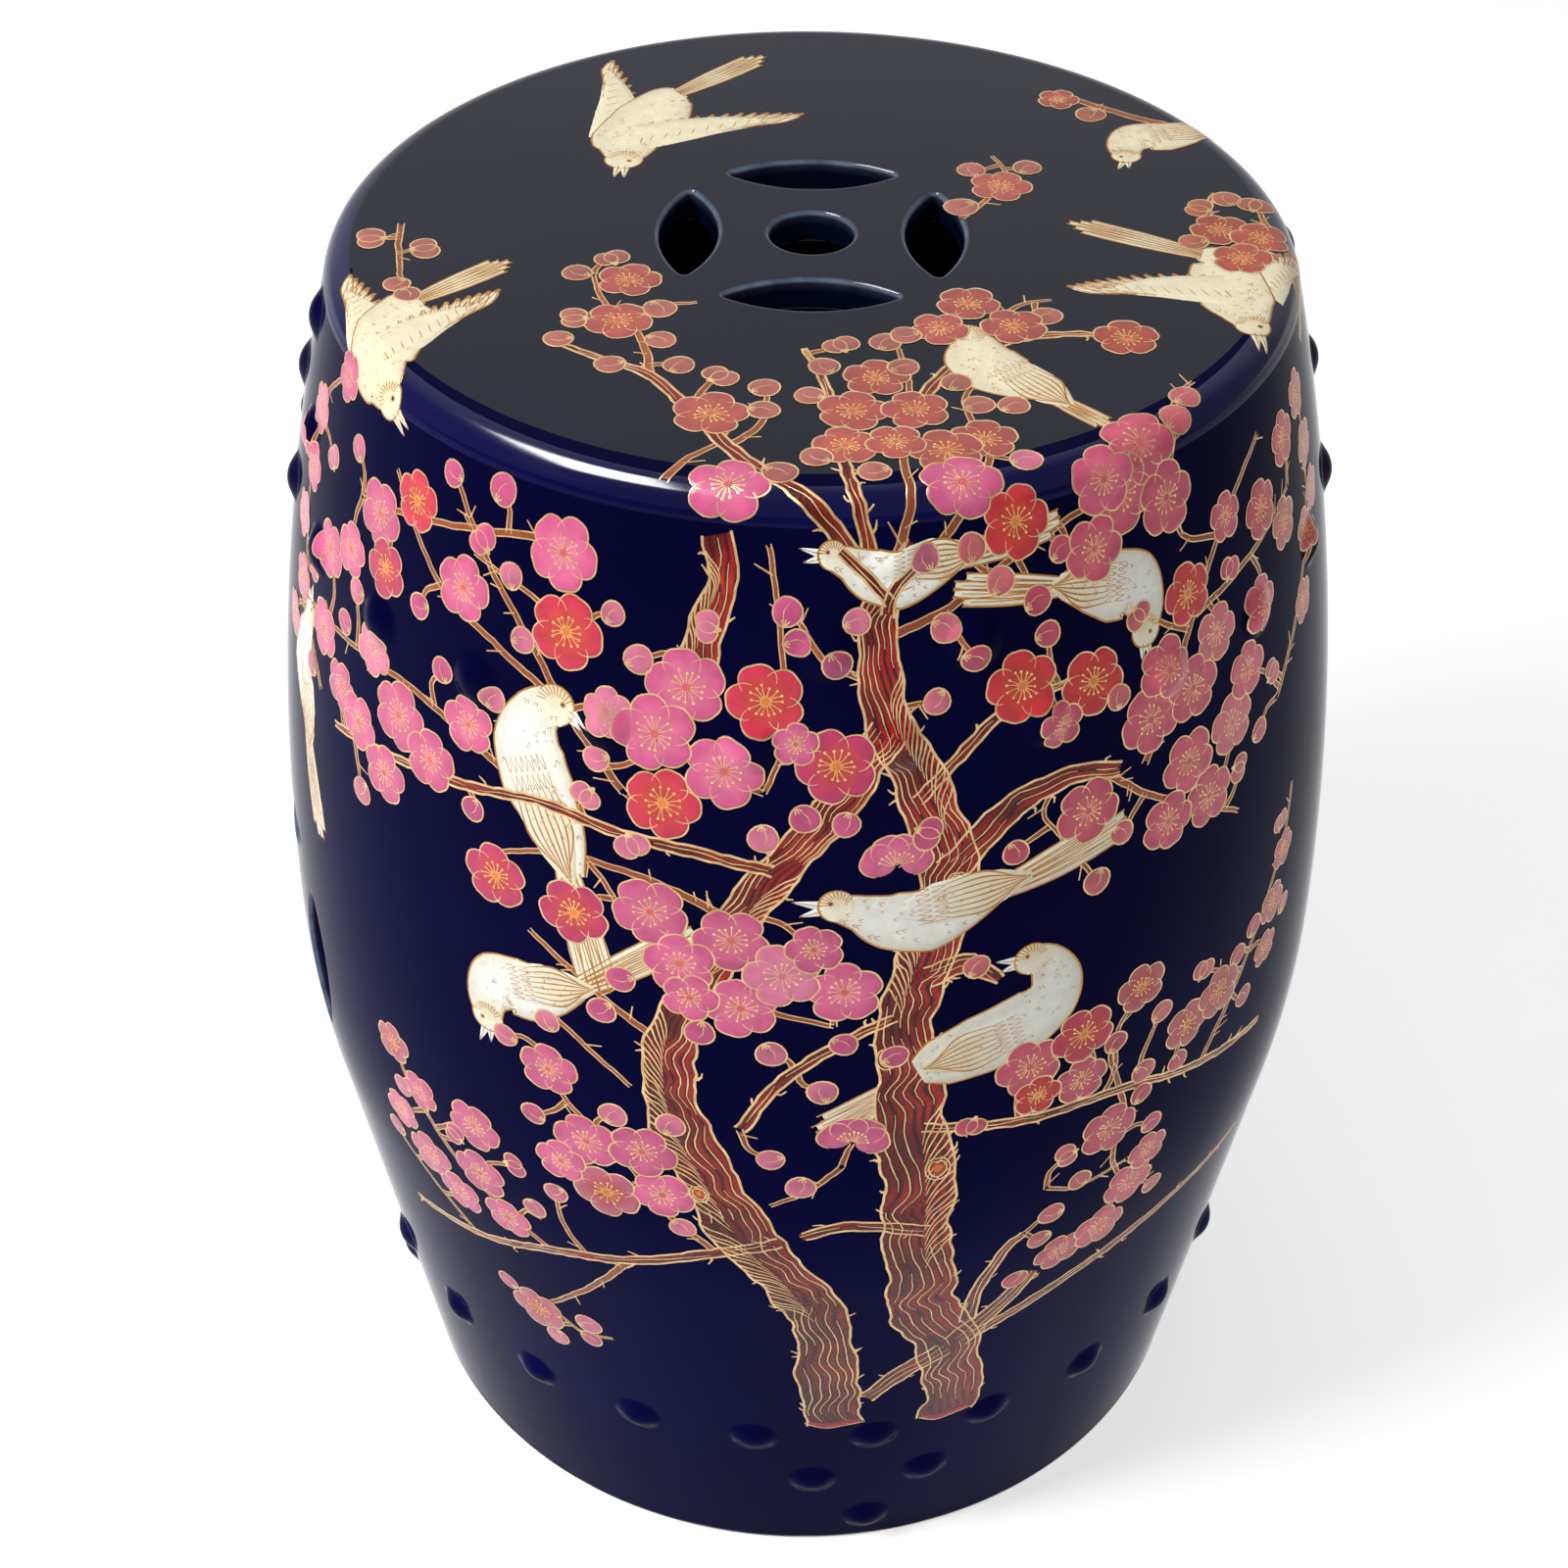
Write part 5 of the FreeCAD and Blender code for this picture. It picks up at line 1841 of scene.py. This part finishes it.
def gilt_material():
    """Fired gilding, slightly rubbed, between bright gold and brown."""
    n = Nodes(bpy.data.materials.new("gilt"))
    painted(n, n.ramp(n.noise(240.0, 4.0), (0.3, (0.55, 0.33, 0.13)), (0.7, (0.86, 0.60, 0.30))))
    n.set(Roughness=n.ramp(n.noise(320.0), (0.3, 0.30), (0.8, 0.5)), Metallic=0.55)
    n.bump(n.noise(700.0), 0.15, 0.0001)
    return n.owner


def clay_material():
    n = Nodes(bpy.data.materials.new("fired_clay"))
    speck = n.ramp(n.noise(900.0, 6.0), (0.35, (0.40, 0.34, 0.27)), (0.6, CLAY))
    n.set(Base_Color=n.mix(n.noise(30.0), speck, (0.50, 0.42, 0.33)), Roughness=0.85)
    n.bump(n.noise(500.0, 5.0), 0.3, 0.0005)
    return n.owner


# Camera, set to the photograph's viewpoint: its lens in mm, its distance from the stool's middle,
# its elevation and how far it is turned away from the middle

LENS = 67.5
SENSOR = 36.0
CAMERA_DISTANCE = 1057.85
CAMERA_ELEVATION = 39.538
CAMERA_PAN = 0.416
CAMERA_TILT = 0.357
CAMERA_ROLL = -0.668


def make_camera():
    target = Vector((0, 0, STOOL_HEIGHT / 2))
    up_angle = math.radians(CAMERA_ELEVATION)
    place = target + CAMERA_DISTANCE * Vector((0, -math.cos(up_angle), math.sin(up_angle)))
    forward = (target - place).normalized()
    right = Vector((1, 0, 0))
    up = right.cross(forward)
    pan = Matrix.Rotation(math.radians(CAMERA_PAN), 3, up)
    forward, right = pan @ forward, pan @ right
    tilt = Matrix.Rotation(math.radians(CAMERA_TILT), 3, right)
    forward, up = tilt @ forward, tilt @ up
    roll = Matrix.Rotation(math.radians(CAMERA_ROLL), 3, forward)
    right, up = roll @ right, roll @ up
    turn = Matrix.Rotation(math.radians(VIEW_TURN), 3, "Z")
    right, up, forward, place = (turn @ v for v in (right, up, forward, place))
    camera = bpy.data.objects.new("camera", bpy.data.cameras.new("camera"))
    camera.data.lens = LENS
    camera.data.sensor_width = SENSOR
    camera.data.clip_start = 0.01
    facing = Matrix((right, up, -forward)).transposed().to_4x4()
    camera.matrix_world = Matrix.Translation(place * MM) @ facing
    bpy.context.scene.collection.objects.link(camera)
    bpy.context.scene.camera = camera


# Light and floor

WHITE = (1.0, 1.0, 1.0)
FLOOR_ALBEDO = (0.80, 0.80, 0.80)
FLOOR_GLOW = 0.55
FLOOR_REACH = 95000.0
# The studio is bright behind the stool and dim overhead and in front
WORLD_BRIGHT = 0.75
WORLD_DIM = 0.27
# The bright part is centred at this elevation, and begins and is full at these cosines
BRIGHT_ELEVATION = 20
BRIGHT_SPAN = (0.5, 0.92)


def direction(azimuth, elevation):
    """Direction from the stool, in azimuths round the photograph's view."""
    a, e = math.radians(azimuth + VIEW_TURN), math.radians(elevation)
    return Vector((math.sin(a) * math.cos(e), -math.cos(a) * math.cos(e), math.sin(e)))


def make_world():
    world = bpy.data.worlds.new("studio")
    n = Nodes(world, "Background")
    behind = n.vector("DOT_PRODUCT", n.place("Generated"), direction(180, BRIGHT_ELEVATION), "Value")
    level = n.rescale(behind, BRIGHT_SPAN, (WORLD_DIM, WORLD_BRIGHT), "SMOOTHSTEP")
    n.set(Color=WHITE, Strength=level)
    bpy.context.scene.world = world


def make_floor():
    mesh = bpy.data.meshes.new("floor")
    half = FLOOR_REACH * MM
    corners = ((-half, -half), (half, -half), (half, half), (-half, half))
    mesh.from_pydata([(x, y, 0.0) for x, y in corners], [], [(0, 1, 2, 3)])
    floor = bpy.data.objects.new("floor", mesh)
    bpy.context.scene.collection.objects.link(floor)
    n = Nodes(bpy.data.materials.new("pale_floor"))
    # The floor glows for rays that show the background: camera, glossy and transmission rays
    rays = n.node("LightPath", {}).node.outputs
    shown = rays["Is Camera Ray"]
    for name in ("Is Glossy Ray", "Is Transmission Ray"):
        shown = n.math("ADD", shown, rays[name], clamp=True)
    n.set(Base_Color=FLOOR_ALBEDO, Roughness=0.9, Specular_IOR_Level=0.0)
    n.set(Emission_Color=WHITE, Emission_Strength=n.math("MULTIPLY", shown, FLOOR_GLOW))
    mesh.materials.append(n.owner)


def area_light(name, azimuth, elevation, distance, size, power, height=0.3):
    """Soft lamp aimed at a height on the stool's axis. Sizes and distance are in metres."""
    data = bpy.data.lights.new(name, "AREA")
    data.shape = "RECTANGLE"
    data.size, data.size_y = size
    data.energy = power
    lamp = bpy.data.objects.new(name, data)
    aim = Vector((0, 0, height))
    lamp.location = aim + distance * direction(azimuth, elevation)
    lamp.rotation_mode = "QUATERNION"
    lamp.rotation_quaternion = (aim - lamp.location).to_track_quat("-Z", "Y")
    bpy.context.scene.collection.objects.link(lamp)
    return lamp


def make_lights():
    key = area_light("key", -60, 43, 1.7, (0.5, 0.9), 26)
    fill = area_light("fill", 50, 38, 2.4, (1.4, 1.2), 7)
    key.visible_glossy = fill.visible_glossy = False
    # A high softbox that is seen only as a streak in the gloss
    gleam = area_light("gleam", -98, 65, 1.7, (0.85, 0.55), 60, 0.45)
    gleam.visible_diffuse = False


def make_all():
    make_camera()
    wall = glaze_material("cobalt_glaze_wall", COBALT, 0.01, marked=True)
    # The seat's glaze is coloured with the painted grey reflection, and the turn and shoulder take it
    # inside the circle
    seat = glaze_material("cobalt_glaze_seat_reflection", SLATE_REFLECTION, 0.2, marked=True)
    turn = glaze_material("cobalt_glaze_turn", COBALT, 0.10, softness=3.2, painted_reflection=SLATE_REFLECTION)
    shoulder = glaze_material("cobalt_glaze_shoulder", COBALT, 0.30, softness=3.2, painted_reflection=SLATE_REFLECTION)
    boss = glaze_material("cobalt_glaze_boss", COBALT, 0.01)
    foot = glaze_material("cobalt_glaze_foot", COBALT, 0.01, wiped_below=0.0018)
    make_wall(wall)
    make_seat(seat, wall, turn, shoulder)
    make_foot(foot)
    for node in BOSSES:
        make_bosses(node, boss)
    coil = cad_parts["joint_coil"]
    coil.data.materials.clear()
    coil.data.materials.append(clay_material())

    gilt = gilt_material()
    petal_enamel = enamel_material("petal_enamel", 0.22, 180.0, 0.35)
    bark_enamel = enamel_material("bark_enamel", 0.30, 260.0, 0.5)
    feather_enamel = enamel_material("feather_enamel", 0.28, 220.0, 0.5, 0.95)
    for name, slot, chart, paint in (
        ("front", "glazed_wall", SIDE, paint_side),
        ("back", "glazed_wall", SIDE, paint_back),
        ("seat", "glazed_seat", DISC, paint_seat),
    ):
        wood, petals, birds = Brush(chart), Brush(chart), Brush(chart)
        paint(wood, petals, birds)
        for brush, things, thing, enamel in (
            (wood, "branches_", "branch", bark_enamel),
            (petals, "blossoms_", "blossom", petal_enamel),
            (birds, "birds_", "bird", feather_enamel),
        ):
            brush.enamel.make(things + name, enamel, slot)
            brush.gold.make(thing + "_gilding_" + name, gilt, slot)
    make_world()
    make_lights()
    make_floor()


make_all()
bpy.context.scene.view_settings.view_transform = "Standard"
